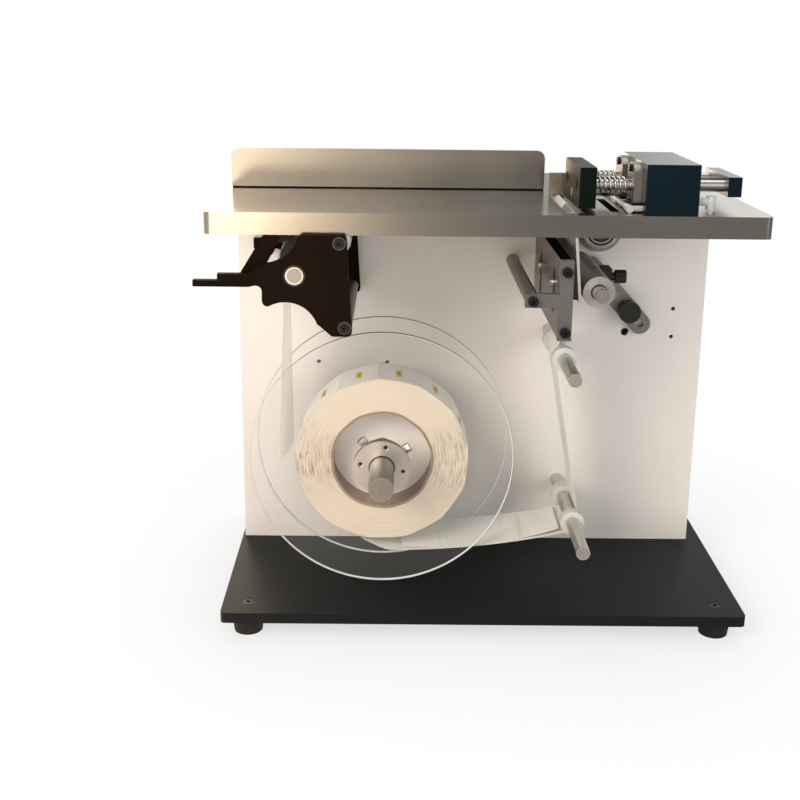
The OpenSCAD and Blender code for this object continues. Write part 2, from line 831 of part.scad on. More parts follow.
module slotted_plate() {
    at_base()
        color("DarkGray")
            difference() {
                bar(plate_x, plate_x + plate_t, front_y + bracket_t, panel_y, plate_z1, plate_z2);
                for (z = screw_z)
                    rod_along_y(screw_x, z, front_y, front_y + bracket_t + 12, m4 + hole_c);
                for (i = [0, 1]) {
                    bar(plate_x - 1, plate_x + plate_t + 1, slot_y[i] - slot_w / 2, slot_y[i] + slot_w / 2,
                        slot_z[i] - 20, slot_z[i] + 8);
                    for (z = [slot_z[i] - 20, slot_z[i] + 8])
                        rod_along_x(plate_x - 1, plate_x + plate_t + 1, slot_y[i], z, slot_w);
                }
            }
}

// middle line of the leaning peel plate at a height
function peel_at(z) = tip_x + (tip_z - z) * peel_lean;
car_x = plate_x + plate_t + 0.2;

module peel_carrier() {
    at_base()
        color("Black")
            difference() {
                slab(8, 100)
                    polygon([
                        [car_x, peel_z + 2],
                        [car_x, z0 + 262],
                        [peel_at(z0 + 262) - peel_t / 2, z0 + 262],
                        [peel_at(peel_z + 2) - peel_t / 2, peel_z + 2]
                    ]);
                for (i = [0, 1])
                    rod_along_x(car_x - 1, car_x + 4.2, slot_y[i], slot_z[i], m4);
            }
}

module peel_plate() {
    at_base()
        color("Silver")
            slab(8, 100)
                polygon([
                    [peel_at(peel_z) - peel_t / 2, peel_z],
                    [peel_at(tip_z - 4) - peel_t / 2, tip_z - 4],
                    [peel_at(tip_z) - 0.3, tip_z],
                    [peel_at(tip_z) + 0.3, tip_z],
                    [peel_at(tip_z - 4) + peel_t / 2, tip_z - 4],
                    [peel_at(peel_z) + peel_t / 2, peel_z]
                ]);
}

module carrier_screws() {
    at_base()
        color("Silver")
            for (i = [0, 1]) {
                difference() {
                    rod_along_x(plate_x - 2.8, plate_x - 0.2, slot_y[i], slot_z[i], 6.6);
                    bar(plate_x - 4, plate_x - 1.8, slot_y[i] - 2.4, slot_y[i] + 2.4, slot_z[i] - 0.5, slot_z[i] + 0.5);
                    bar(plate_x - 4, plate_x - 1.8, slot_y[i] - 0.5, slot_y[i] + 0.5, slot_z[i] - 2.4, slot_z[i] + 2.4);
                }
                rod_along_x(plate_x - 0.2 - eps, car_x + 4, slot_y[i], slot_z[i], m4);
            }
}

module return_roller() {
    at_base()
        color("Silver")
            ring_along_y(ret_x, ret_z, 6, 100, roller_d, ret_shaft_d + run_c);
}

module roller_shaft() {
    at_base()
        color("Silver")
            stud_rod(ret_x, ret_z, front_y, ret_shaft_d);
}

module arm_shape(r, s1, s2) {
    hull()
        for (s = [s1, s2])
            translate([arm_x + s * cos(arm_a), arm_z + s * sin(arm_a)])
                circle(r = r, $fn = 32);
}

module sensor_arm() {
    at_base()
        color("DimGray")
            {
                slab(panel_y - arm_t - 0.2, panel_y - 0.2)
                    difference() {
                        arm_shape(arm_r, 0, arm_l);
                        arm_shape(stud_d / 2 + 0.4, 0, 34);
                    }
                rod_along_y(arm_ex, arm_ez, 64, panel_y - arm_t - 0.2 + eps, arm_pin_d);
            }
}

module arm_knob() {
    at_base()
        color("Black")
            difference() {
                union() {
                    translate([stud_x, panel_y - arm_t - 10.4, stud_z])
                        rotate([-90, 0, 0])
                            linear_extrude(height = 8)
                                for (k = [0 : 2])
                                    rotate(30 * k)
                                        circle(d = knob_d, $fn = 8);
                    rod_along_y(stud_x, stud_z, panel_y - arm_t - 2.5, panel_y - arm_t - 0.4, 11);
                }
                rod_along_y(stud_x, stud_z, panel_y - arm_t - 8, panel_y, stud_d + run_c);
            }
}

sens_x1 = arm_ex - 3.6;
sens_x2 = arm_ex + 4;
thumb_y = 72;
thumb_z = arm_ez + 5;
thumb_x = sens_x2 + 3.4;
thumb_d = 10;
thumb_l = 8;
thumb_neck_d = 6;

module sensor_block() {
    at_base()
        color("Black")
            difference() {
                bar(sens_x1, sens_x2, thumb_y - 8, thumb_y + 8, arm_ez - 6, arm_ez + 12);
                rod_along_y(arm_ex, arm_ez, thumb_y - 12, thumb_y + 18, arm_pin_d);
                rod_along_x(sens_x2 - 5.4, sens_x2 + 1, thumb_y, thumb_z, m4 + run_c);
            }
}

module thumb_screw() {
    at_base()
        color("Black")
            {
                rod_along_x(sens_x2 - 5, thumb_x + 1, thumb_y, thumb_z, m4);
                rod_along_x(sens_x2 + 0.3, thumb_x + 1, thumb_y, thumb_z, thumb_neck_d);
                translate([thumb_x, thumb_y, thumb_z])
                    rotate([0, 90, 0])
                        linear_extrude(height = thumb_l)
                            for (k = [0 : 2])
                                rotate(30 * k)
                                    circle(d = thumb_d, $fn = 8);
            }
}

module housing_ring(x, z, bore) {
    difference() {
        union() {
            rod_along_y(x, z, panel_y - house_t, panel_y, house_d - 6);
            rod_along_y(x, z, panel_y - 4, panel_y, house_d);
        }
        rod_along_y(x, z, panel_y - house_t - 1, panel_y + 1, bore);
    }
}

module bearing_housings() {
    at_base()
        color("Gray")
            {
                housing_ring(reel_x, reel_z, spindle_d + run_c);
                housing_ring(spare_x, spare_z, spindle_d + run_c);
            }
}

module web_rods() {
    at_base()
        color("Silver")
            {
                stud_rod(up_x, up_z, front_y + 0.5, web_rod_d);
                stud_rod(low_x, low_z, front_y + 0.5, web_rod_d);
                rod_along_y(pin_x, pin_z, web_y1 - 4, panel_y, pin_d);
                rod_along_y(pin_x, pin_z, panel_y - eps, pan_b, pin_d - 2);
                rod_along_y(stud_x, stud_z, panel_y - arm_t - 7, pan_b, stud_d);
            }
}

module collar(x, z, y) {
    ring_along_y(x, z, y, y + collar_w, collar_d, web_rod_d + run_c);
}

module rear_collars() {
    at_base()
        color("White")
            {
                ring_along_y(up_x, up_z, web_y2 + 0.5, web_y2 + 0.5 + collar_w, collar_d, web_rod_d);
                ring_along_y(low_x, low_z, web_y2 + 0.5, web_y2 + 0.5 + collar_w, collar_d, web_rod_d);
            }
}

module collar_upper() {
    at_base()
        color("White")
            collar(up_x, up_z, web_y1 - 0.5 - collar_w);
}

module collar_lower() {
    at_base()
        color("White")
            collar(low_x, low_z, web_y1 - 0.5 - collar_w);
}

module spindle() {
    at_base()
        color("Silver")
            {
                rod_along_y(reel_x, reel_z, -spindle_out, pan_b + 8, spindle_d);
                rod_along_y(reel_x, reel_z, pan_b + 0.4, pan_b + 5, spindle_d + 8);
            }
}

module rear_disc() {
    at_base()
        color("LightCyan")
            ring_along_y(reel_x, reel_z, rear_disc_y, rear_disc_y + disc_t, disc_d, spindle_d, $fn = 96);
}

module core_plug() {
    at_base()
        color("WhiteSmoke")
            ring_along_y(reel_x, reel_z, web_y1 + plug_in, rear_disc_y, core_d, spindle_d, $fn = 72);
}

module paper_core() {
    at_base()
        color("BurlyWood")
            ring_along_y(reel_x, reel_z, web_y1, web_y2, core_d + 2 * core_wall, core_d, $fn = 72);
}

module label_roll() {
    at_base()
        color("OldLace")
            ring_along_y(reel_x, reel_z, web_y1, web_y2, roll_d, core_d + 2 * core_wall, $fn = 72);
}

module front_disc() {
    at_base()
        color("LightCyan")
            ring_along_y(reel_x, reel_z, front_disc_y, front_disc_y + disc_t, disc_d, spindle_d + run_c, $fn = 96);
}

hub_screw_y = hub_y + hub_flange_t + 8;
hub_angles = [132, 31];
hub_pcd = 32;

module lock_hub() {
    at_base()
        color("Silver")
            difference() {
                union() {
                    rod_along_y(reel_x, reel_z, hub_y, hub_y + hub_flange_t, hub_d);
                    rod_along_y(reel_x, reel_z, hub_y + hub_flange_t - eps, front_disc_y, hub_barrel_d);
                }
                rod_along_y(reel_x, reel_z, hub_y - 1, front_disc_y + 1, spindle_d + run_c);
                for (k = [0 : 3])
                    rod_along_y(reel_x + hub_pcd / 2 * cos(80 + 90 * k), reel_z + hub_pcd / 2 * sin(80 + 90 * k),
                        hub_y - 1, hub_y + 7, 4.6);
                for (a = hub_angles)
                    translate([reel_x, hub_screw_y, reel_z])
                        rotate([0, -a, 0])
                            rod_along_x(0, hub_barrel_d, 0, 0, m4 + run_c);
            }
}

module hub_screw(a) {
    translate([reel_x, hub_screw_y, reel_z])
        rotate([0, -a, 0]) {
            rod_along_x(spindle_d / 2 + 0.3, hub_barrel_d / 2 + 2, 0, 0, m4);
            rod_along_x(hub_barrel_d / 2 + 0.6, hub_barrel_d / 2 + 2, 0, 0, 5.2);
            translate([hub_barrel_d / 2 + 1.8, 0, 0])
                rotate([0, 90, 0])
                    linear_extrude(height = 5.2)
                        for (k = [0 : 2])
                            rotate(30 * k)
                                circle(d = 6.8, $fn = 8);
        }
}

module hub_screw_l() {
    at_base()
        color("Silver")
            hub_screw(hub_angles[0]);
}

module hub_screw_r() {
    at_base()
        color("Silver")
            hub_screw(hub_angles[1]);
}

// outline of the drive plates, edge on the right and reach of the left arm given
module drive_outline(right, reach) {
    offset(r = -4)
        offset(delta = 4)
            offset(r = 3.4)
                offset(delta = -3.4)
                    difference() {
                        polygon([
                            [right - 2.2, drive_top],
                            [right + 1.8, z0 + 211.6],
                            [-109.5, z0 + 211.6],
                            [-117.8, z0 + 219],
                            [-153.2, z0 + 225],
                            [-156.4, z0 + 236],
                            [-156.2, drive_arm_z],
                            [-178, drive_arm_z],
                            [-178, drive_arm_z + drive_arm_h],
                            [-165, drive_arm_z + drive_arm_h],
                            [-156, z0 + 261.6],
                            [-153, drive_top],
                            [-131, drive_top]
                        ]);
                        translate([-140.7, z0 + 212.7])
                            circle(r = 22.5, $fn = 64);
                        translate([-157, z0 + 287.5])
                            circle(r = 26.6, $fn = 64);
                    }
    translate([-reach, drive_arm_z])
        square([reach - 168, drive_arm_h]);
}

module drive_front_plate() {
    at_base()
        color("Black")
            difference() {
                slab(drv_plate_y, drv_plate_y + drive_t)
                    drive_outline(-97.5, front_reach);
                rod_along_y(drv_x, drv_z, drv_plate_y - 1, drv_plate_y + drive_t + 1, drive_shaft_d + run_c);
                rod_along_y(piv_x, piv_z, drv_plate_y + 1, drv_plate_y + drive_t + 1, piv_d);
                for (p = spacers) {
                    rod_along_y(p[0], p[1], drv_plate_y - 1, drv_plate_y + drive_t + 1, m4 + 0.4);
                    rod_along_y(p[0], p[1], drv_plate_y - 1, drv_plate_y - 0.2 + m4, m4_head + 1);
                }
            }
}

module drive_rear_plate() {
    at_base()
        color("Black")
            difference() {
                slab(rear_plate_y, panel_y)
                    drive_outline(-96, rear_reach);
                rod_along_y(drv_x, drv_z, rear_plate_y - 1, panel_y + 1, drive_shaft_d + run_c);
                rod_along_y(piv_x, piv_z, rear_plate_y - 1, panel_y + 1, piv_d);
                for (p = spacers)
                    rod_along_y(p[0], p[1], rear_plate_y - 1, panel_y + 1, spigot_d);
            }
}

roll_y1 = web_y1 + 1;
roll_y2 = web_y2 - 1;

module drive_shaft() {
    at_base()
        color("Silver")
            rod_along_y(drv_x, drv_z, drv_plate_y - 1, pan_b + 12, drive_shaft_d);
}

module drive_roller() {
    at_base()
        color("DarkOliveGreen")
            ring_along_y(drv_x, drv_z, roll_y1, roll_y2, drive_d, drive_shaft_d);
}

lever_y = max(drv_plate_y + drive_t, table_t - table_over) + 0.4;
lever_t = 5;
lever_y2 = 108;

module lever_arm(y) {
    slab(y, y + lever_t)
        hull() {
            translate([piv_x, piv_z])
                circle(r = 6.5, $fn = 32);
            translate([nip_x, nip_z])
                circle(r = 5.5, $fn = 32);
        }
}

module nip_lever() {
    at_base()
        color("Black")
            difference() {
                union() {
                    lever_arm(lever_y);
                    lever_arm(lever_y2);
                    bar(-lever_reach, piv_x, lever_y, lever_y + lever_t, piv_z - 6.6, piv_z - 2.2);
                    rod_along_y(piv_x, piv_z, lever_y, lever_y2 + lever_t, 10);
                    rod_along_y(nip_x, nip_z, lever_y, lever_y2 + lever_t, piv_d);
                }
                rod_along_y(piv_x, piv_z, lever_y - 1, lever_y2 + lever_t + 1, piv_d + run_c);
            }
}

module nip_roller() {
    at_base()
        color("DarkOliveGreen")
            ring_along_y(nip_x, nip_z, roll_y1, roll_y2, nip_d, piv_d + run_c);
}

motor_w = 57;

module drive_motor() {
    at_base()
        color("DimGray")
            difference() {
                bar(drv_x - motor_w / 2, drv_x + motor_w / 2, pan_b, pan_b + 54, drv_z - motor_w / 2, drv_z + motor_w / 2);
                rod_along_y(drv_x, drv_z, pan_b - 1, pan_b + 14, drive_shaft_d + run_c);
            }
}

function ang(v) = atan2(v[1], v[0]);
half_w = gap + web_t / 2;
roll_c = [reel_x, reel_z];
low_c = [low_x, low_z];
up_c = [up_x, up_z];
roll_wr = roll_d / 2 + half_w;
rod_wr = web_rod_d / 2 + half_w;
leave_a = ang(low_c - roll_c) + asin((roll_wr - rod_wr) / norm(low_c - roll_c)) - 90;
up_a1 = ang(up_c - low_c) + asin(2 * rod_wr / norm(up_c - low_c)) + 90;
low_a = up_a1 - 180;
peel_off = peel_t / 2 + half_w;
heel = [peel_at(peel_z) + peel_off + 0.4, peel_z - peel_travel - gap];
up_a2 = ang(heel - up_c) + acos(rod_wr / norm(heel - up_c));
tip_top = [tip_x, tip_z + half_w];
leave_p = roll_c + roll_wr * [cos(leave_a), sin(leave_a)];
reach_p = low_c + rod_wr * [cos(leave_a), sin(leave_a)];
web_path = concat(
    [leave_p],
    [for (i = [1 : 7]) let (t = i / 8) leave_p + (reach_p - leave_p) * t - [0, 4 * web_sag * t * (1 - t)]],
    arc(low_x, low_z, rod_wr, leave_a, low_a, 8),
    arc(up_x, up_z, rod_wr, up_a1, up_a2, 3),
    [heel, [peel_at(tip_z - 4) + peel_off, tip_z - 4]],
    [[tip_x + 0.9, tip_z - 0.1], tip_top]
);

module label_web() {
    at_base()
        color("White")
            slab(web_y1, web_y2)
                polygon(strip(web_path, web_t));
}

pin_c = [pin_x, pin_z];
spa_c = spacers[0];
drv_c = [drv_x, drv_z];
pin_wr = pin_d / 2 + half_w;
spa_wr = stand_d / 2 + half_w;
drv_wr = drive_d / 2 + half_w;
tip_left = [tip_x - 1, tip_z + 0.2];
pin_a1 = ang(tip_left - pin_c) - acos(pin_wr / norm(tip_left - pin_c));
spa_a1 = ang(pin_c - spa_c) + acos((pin_wr + spa_wr) / norm(pin_c - spa_c));
spa_a2 = ang(spa_c - drv_c) + acos((drv_wr - spa_wr) / norm(spa_c - drv_c));
exit_a = ang(nip_dir) + 8;
tail_p = drv_c + drv_wr * [cos(exit_a), sin(exit_a)];
tail_x = drv_x - drive_d / 2;
tail_z = z0 + 97;
tail_hang = [
    tail_p + [-4.2, -4.6],
    [tail_x - 1.9, drv_z + 1],
    [tail_x - 1.6, drv_z - 9],
    [tail_x + 1.2, drv_z - 25],
    [tail_x + 2.5, drv_z - 38],
    [tail_x + 2.3, drv_z - 59],
    [tail_x + 1.6, (drv_z - 59 + tail_z) / 2],
    [tail_x + 0.8, tail_z]
];
liner_path = concat(
    [tip_top, tip_left],
    arc(pin_x, pin_z, pin_wr, pin_a1, spa_a1 - 180, 6),
    arc(spa_c[0], spa_c[1], spa_wr, spa_a1, spa_a2, 3),
    arc(drv_x, drv_z, drv_wr, spa_a2, exit_a, 4),
    tail_hang
);

module liner() {
    at_base()
        color("White")
            slab(web_y1, web_y2)
                polygon(strip(liner_path, web_t));
}

inlet_y = panel_y + cabinet_d;

module power_inlet() {
    at_base()
        color("Black")
            difference() {
                union() {
                    bar(-149.8, -102.2, inlet_y - 24, inlet_y + eps, z0 + 40.2, z0 + 67.8);
                    bar(-156, -96, inlet_y, inlet_y + 2, z0 + 35, z0 + 73);
                }
                bar(-140, -112, inlet_y - 15, inlet_y + 3, z0 + 44, z0 + 64);
            }
}

base_plate();
feet();
foot_screws();
front_panel();
panel_rails();
rear_housing();
table_top();
fence();
side_guide();
pusher_body();
flange_bushings();
bushing_screws();
push_block();
pusher_screws();
guide_rods();
plunger_rod();
rod_end_plate();
spring_front();
spring_rear();
air_fittings();
air_hoses();
air_valve();
t_bracket();
standoffs();
cap_screws();
slotted_plate();
peel_carrier();
peel_plate();
carrier_screws();
return_roller();
roller_shaft();
sensor_arm();
arm_knob();
sensor_block();
thumb_screw();
bearing_housings();
web_rods();
rear_collars();
collar_upper();
collar_lower();
spindle();
rear_disc();
core_plug();
paper_core();
label_roll();
front_disc();
lock_hub();
hub_screw_l();
hub_screw_r();
drive_front_plate();
drive_rear_plate();
drive_shaft();
drive_roller();
nip_lever();
nip_roller();
drive_motor();
label_web();
liner();
power_inlet();
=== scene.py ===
import json
import math
import random

import bmesh
import bpy
from mathutils import Matrix, Vector


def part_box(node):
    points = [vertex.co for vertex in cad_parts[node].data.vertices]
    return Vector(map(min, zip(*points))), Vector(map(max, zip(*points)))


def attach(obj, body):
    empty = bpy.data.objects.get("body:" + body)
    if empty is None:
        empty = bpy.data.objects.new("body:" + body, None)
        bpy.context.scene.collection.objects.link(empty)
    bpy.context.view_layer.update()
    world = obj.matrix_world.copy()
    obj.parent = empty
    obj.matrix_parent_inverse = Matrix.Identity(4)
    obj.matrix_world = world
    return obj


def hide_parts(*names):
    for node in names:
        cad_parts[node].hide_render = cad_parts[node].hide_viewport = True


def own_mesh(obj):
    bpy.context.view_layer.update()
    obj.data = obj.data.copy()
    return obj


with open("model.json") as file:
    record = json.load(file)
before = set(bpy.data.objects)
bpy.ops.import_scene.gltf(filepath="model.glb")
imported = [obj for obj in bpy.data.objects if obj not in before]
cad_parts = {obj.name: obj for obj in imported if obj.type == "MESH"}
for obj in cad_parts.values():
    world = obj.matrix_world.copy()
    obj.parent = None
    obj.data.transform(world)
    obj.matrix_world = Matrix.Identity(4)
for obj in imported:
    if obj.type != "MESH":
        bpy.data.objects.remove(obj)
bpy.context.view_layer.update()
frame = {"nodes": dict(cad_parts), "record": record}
nodes = frame["nodes"]
scene = bpy.context.scene
MM = 0.001


# ---- materials


class Look:
    """One Principled material and its helper nodes."""

    def __init__(self, name, color, rough, metal=0.0, **sockets):
        self.mat = bpy.data.materials.new(name)
        self.mat.use_nodes = True
        self.tree = self.mat.node_tree
        self.bsdf = self.tree.nodes["Principled BSDF"]
        self.bsdf.inputs["Base Color"].default_value = (*color, 1)
        self.bsdf.inputs["Roughness"].default_value = rough
        self.bsdf.inputs["Metallic"].default_value = metal
        for k, v in sockets.items():
            self.bsdf.inputs[k.replace("_", " ")].default_value = v
        self.coord = None

    def add(self, kind, **values):
        n = self.tree.nodes.new(kind)
        for k, v in values.items():
            setattr(n, k, v)
        return n

    def link(self, a, b):
        self.tree.links.new(a, b)

    def place(self, stretch=(1, 1, 1)):
        """Points of the piece, stretched along its axes."""
        if self.coord is None:
            self.coord = self.add("ShaderNodeTexCoord")
        m = self.add("ShaderNodeMapping")
        m.inputs["Scale"].default_value = stretch
        self.link(self.coord.outputs["Object"], m.inputs["Vector"])
        return m.outputs["Vector"]

    def field(self, vector, detail, rough, scale=1.0):
        """Noise over the points that the vector gives."""
        n = self.add("ShaderNodeTexNoise")
        n.inputs["Scale"].default_value = scale
        n.inputs["Detail"].default_value = detail
        n.inputs["Roughness"].default_value = rough
        self.link(vector, n.inputs["Vector"])
        return n.outputs["Fac"]

    def noise(self, scale, detail, rough, stretch=(1, 1, 1)):
        """Noise over the stretched points of the piece."""
        return self.field(self.place(stretch), detail, rough, scale)

    def times(self, a, b):
        """Product of a value and a number or another value."""
        m = self.add("ShaderNodeMath", operation="MULTIPLY")
        self.link(a, m.inputs[0])
        if isinstance(b, float):
            m.inputs[1].default_value = b
        else:
            self.link(b, m.inputs[1])
        return m.outputs[0]

    def joined(self, x, y):
        """Vector of two values."""
        n = self.add("ShaderNodeCombineXYZ")
        self.link(x, n.inputs[0])
        self.link(y, n.inputs[1])
        return n.outputs[0]

    def blend(self, a, share, b):
        """The first value times a number, added to the second."""
        m = self.add("ShaderNodeMath", operation="MULTIPLY_ADD")
        self.link(a, m.inputs[0])
        m.inputs[1].default_value = share
        self.link(b, m.inputs[2])
        return m.outputs[0]

    def span(self, value, low, high, a=0.3, b=0.7):
        """The value's range from a to b, laid over low to high."""
        r = self.add("ShaderNodeMapRange")
        r.inputs["From Min"].default_value = a
        r.inputs["From Max"].default_value = b
        r.inputs["To Min"].default_value = low
        r.inputs["To Max"].default_value = high
        self.link(value, r.inputs["Value"])
        return r.outputs["Result"]

    def tint(self, value, low, high, a, b):
        """Base colour between two colours by value."""
        r = self.add("ShaderNodeValToRGB")
        r.color_ramp.elements[0].position = a
        r.color_ramp.elements[1].position = b
        r.color_ramp.elements[0].color = (*low, 1)
        r.color_ramp.elements[1].color = (*high, 1)
        self.link(value, r.inputs["Fac"])
        self.link(r.outputs["Color"], self.bsdf.inputs["Base Color"])

    def gloss(self, value, low, high):
        """Roughness between two numbers by value."""
        self.link(self.span(value, low, high), self.bsdf.inputs["Roughness"])

    def bump(self, value, height, strength):
        """Relief by value, of a height in metres."""
        b = self.add("ShaderNodeBump")
        b.inputs["Strength"].default_value = strength
        b.inputs["Distance"].default_value = height
        self.link(value, b.inputs["Height"])
        self.link(b.outputs["Normal"], self.bsdf.inputs["Normal"])


def shade(c, k):
    """Colour times a number, kept below one."""
    return tuple(min(1.0, x * k) for x in c)


# depth in metres of the finest scratches, and the scale of the faint clouds of tone
SCRATCH = 0.000008
CLOUD = 11.0


def varied(look, value, color, spread, a=0.3, b=0.7):
    """Base colour a little darker and lighter by value."""
    look.tint(value, shade(color, 1 - spread), shade(color, 1 + spread), a, b)


def brushed(name, color, rough, along=0):
    """Brushed along the axis of that number: fine grain and faint longer streaks."""
    fine, wide = [4200.0] * 3, [170.0] * 3
    fine[along], wide[along] = 22.0, 3.0
    k = Look(name, color, rough, 1.0)
    grain = k.noise(1.0, 2.0, 0.5, tuple(fine))
    streak = k.noise(1.0, 4.0, 0.6, tuple(wide))
    varied(k, k.blend(grain, 0.5, k.times(streak, 0.5)), color, 0.05, 0.35, 0.65)
    k.gloss(k.noise(7.0, 3.0, 0.5), rough - 0.05, rough + 0.07)
    k.bump(grain, SCRATCH, 0.5)
    return k.mat


def turned(name, color, rough, along, spread=0.07):
    """Machined on a lathe: fine rings round the axis of that number."""
    stretch = [30.0, 30.0, 30.0]
    stretch[along] = 1500.0
    k = Look(name, color, rough, 1.0)
    rings = k.noise(1.0, 3.0, 0.6, tuple(stretch))
    smear = k.noise(60.0, 3.0, 0.5)
    varied(k, rings, color, spread, 0.25, 0.75)
    k.gloss(smear, rough - 0.05, rough + 0.08)
    k.bump(rings, SCRATCH, 0.5)
    return k.mat


def painted(name, color, rough, grain, bump, spread, metal=0.0, shine=0.5):
    """Coated, moulded or paper surface: fine grain under a faint cloud of tone."""
    k = Look(name, color, rough, metal, Specular_IOR_Level=shine)
    fine = k.noise(grain, 2.0, 0.5)
    varied(k, k.noise(CLOUD, 4.0, 0.6), color, spread)
    k.gloss(fine, rough - 0.08, rough + 0.08)
    k.bump(fine, bump, 0.6)
    return k.mat


def clear(name, color, rough, alpha, ior=1.49):
    """Thin clear plastic: mostly see-through, with a faint haze and its own gloss."""
    k = Look(name, color, rough, 0.0, IOR=ior, Alpha=alpha)
    smear = k.noise(25.0, 4.0, 0.6)
    k.gloss(smear, rough, rough + 0.04)
    return k.mat


STEEL = (0.255, 0.245, 0.225)

# finish of each material slot: colour, roughness, then the grain's scale, depth and spread of tone
M = {
    "base_black": painted("base_coat", (0.006, 0.0075, 0.0085), 0.5, 2400.0, 0.00008, 0.16, shine=0.12),
    "rubber_black": painted("foot_rubber", (0.008, 0.008, 0.009), 0.75, 900.0, 0.00008, 0.2, shine=0.25),
    "screw_steel": turned("screw_zinc", (0.45, 0.44, 0.43), 0.32, 2),
    "screw_black": painted("screw_oxide", (0.005, 0.005, 0.006), 0.36, 1800.0, 0.00003, 0.2, shine=0.2),
    "panel_white": painted("panel_coat", (0.72, 0.675, 0.63), 0.5, 1700.0, 0.00004, 0.018),
    "stainless": brushed("sheet_steel", STEEL, 0.31),
    "body_dark": painted("body_anodised", (0.0004, 0.0066, 0.0118), 0.2, 2400.0, 0.00001, 0.18, shine=0.17),
    "block_black": painted("block_acetal", (0.0008, 0.0032, 0.0020), 0.36, 1500.0, 0.00003, 0.2, shine=0.08),
    "rod_chrome": turned("ground_rod", (0.56, 0.545, 0.53), 0.3, 1, 0.04),
    "spring_steel": turned("spring_wire", (0.36, 0.355, 0.35), 0.33, 0),
    "fitting_grey": clear("fitting_plastic", (0.55, 0.56, 0.56), 0.24, 0.72),
    "hose_clear": clear("hose_tube", (0.72, 0.76, 0.77), 0.12, 0.45, 1.42),
    "valve_grey": painted("valve_body", (0.3, 0.31, 0.33), 0.4, 1500.0, 0.00003, 0.1, 0.6),
    "bracket_grey": painted("bracket_anodised", (0.092, 0.089, 0.086), 0.45, 2600.0, 0.00002, 0.1, 0.2, 0.4),
    "plate_alu": brushed("plate_alu", (0.25, 0.243, 0.236), 0.42, 1),
    "carrier_black": painted("carrier_anodised", (0.009, 0.009, 0.01), 0.4, 2200.0, 0.00002, 0.2, shine=0.35),
    "roller_alu": turned("roller_alu", (0.36, 0.355, 0.345), 0.42, 1),
    "nylon_white": painted("nylon", (0.52, 0.515, 0.495), 0.42, 500.0, 0.00003, 0.03),
    "clear_disc": clear("disc_acrylic", (0.86, 0.86, 0.84), 0.05, 0.022),
    "core_card": painted("core_board", (0.26, 0.18, 0.125), 0.85, 700.0, 0.00012, 0.16),
    "roll_paper": painted("roll_side", (0.76, 0.70, 0.58), 0.7, 700.0, 0.00006, 0.06),
    "web_paper": painted("web_paper", (0.68, 0.67, 0.63), 0.5, 900.0, 0.00003, 0.03),
    "hub_alu": turned("hub_turned", (0.47, 0.455, 0.44), 0.34, 1),
    "plate_brown": painted(
        "drive_anodised", (0.0088, 0.0045, 0.0032), 0.5, 2600.0, 0.00002, 0.14, shine=0.015),
    "roller_rubber": painted("roller_rubber", (0.026, 0.027, 0.019), 0.62, 800.0, 0.00006, 0.15, shine=0.3),
    "motor_black": painted("motor_coat", (0.015, 0.015, 0.017), 0.4, 1600.0, 0.00003, 0.15),
    "inlet_black": painted("inlet_plastic", (0.012, 0.012, 0.012), 0.45, 1200.0, 0.00004, 0.15, shine=0.4),
    "knob_black": painted("knob_plastic", (0.007, 0.007, 0.007), 0.4, 1200.0, 0.00004, 0.2, shine=0.35),
}

# nodes with a finish of their own
OWN = {
    # core plug: whiter than the other white nylon, painted light against the shade behind the front disc
    "core_plug": painted("plug_painted_light", (0.92, 0.84, 0.77), 0.45, 500.0, 0.00003, 0.03),
    "flange_bushings": turned("bushing_nickel", (0.17, 0.168, 0.166), 0.4, 0),
    "table_top": brushed("table_polish", STEEL, 0.18),
    "spindle": turned("spindle_ground", (0.29, 0.28, 0.27), 0.36, 1, 0.04),
    "guide_rods": turned("guide_chrome", (0.38, 0.375, 0.37), 0.24, 0, 0.04),
    "plunger_rod": turned("plunger_chrome", (0.38, 0.375, 0.37), 0.24, 0, 0.04),
    "roller_shaft": turned("shaft_ground", (0.27, 0.265, 0.26), 0.34, 1, 0.04),
    "fence": brushed("fence_steel", STEEL, 0.24),
    "pusher_screws": M["screw_black"],
    "drive_shaft": turned("drive_ground", (0.24, 0.235, 0.23), 0.34, 1, 0.04),
    # peel plate: steel lighter than the other steel, a painted highlight so that its front edge reads as a
    # bright line
    "peel_plate": brushed("peel_steel_painted_highlight", (0.66, 0.65, 0.63), 0.34),
    # sensor arm: lighter than the bracket grey, painted light against the shade that it stands in
    "sensor_arm": painted("arm_grey_painted_light", (0.16, 0.158, 0.15), 0.45, 2600.0, 0.00002, 0.1, 0.2, shine=0.4),
}

# width in mm of the broken edges
BEVEL = {
    "base_plate": 0.9, "table_top": 0.9, "fence": 0.5, "side_guide": 0.3, "pusher_body": 0.7,
    "push_block": 0.6, "rod_end_plate": 0.5, "t_bracket": 0.5, "slotted_plate": 0.4,
    "drive_front_plate": 0.5, "drive_rear_plate": 0.4, "front_panel": 0.4, "rear_housing": 0.5,
    "flange_bushings": 0.3, "return_roller": 0.5, "roller_shaft": 0.5, "web_rods": 0.5, "spindle": 0.7,
    "lock_hub": 0.4, "collar_upper": 0.6, "collar_lower": 0.6, "rear_collars": 0.6, "sensor_arm": 0.4,
    "arm_knob": 0.5, "thumb_screw": 0.4, "sensor_block": 0.5, "standoffs": 0.4, "feet": 0.7,
    "power_inlet": 0.5, "cap_screws": 0.25, "bearing_housings": 0.5, "nip_lever": 0.4, "drive_shaft": 0.4,
    "air_fittings": 0.3, "rear_disc": 0.4, "front_disc": 0.4, "core_plug": 0.5, "drive_motor": 0.8,
}
for part in frame["record"]["subparts"]:
    o = nodes[part["node"]]
    o.data.materials.clear()
    o.data.materials.append(OWN.get(o.name, M[part["material_slot"]]))
    if o.name in BEVEL:
        b = o.modifiers.new("edge", "BEVEL")
        b.width = BEVEL[o.name] * MM
        b.segments = 2
        b.limit_method = "ANGLE"
        b.angle_limit = math.radians(40)

# ---- pieces built here

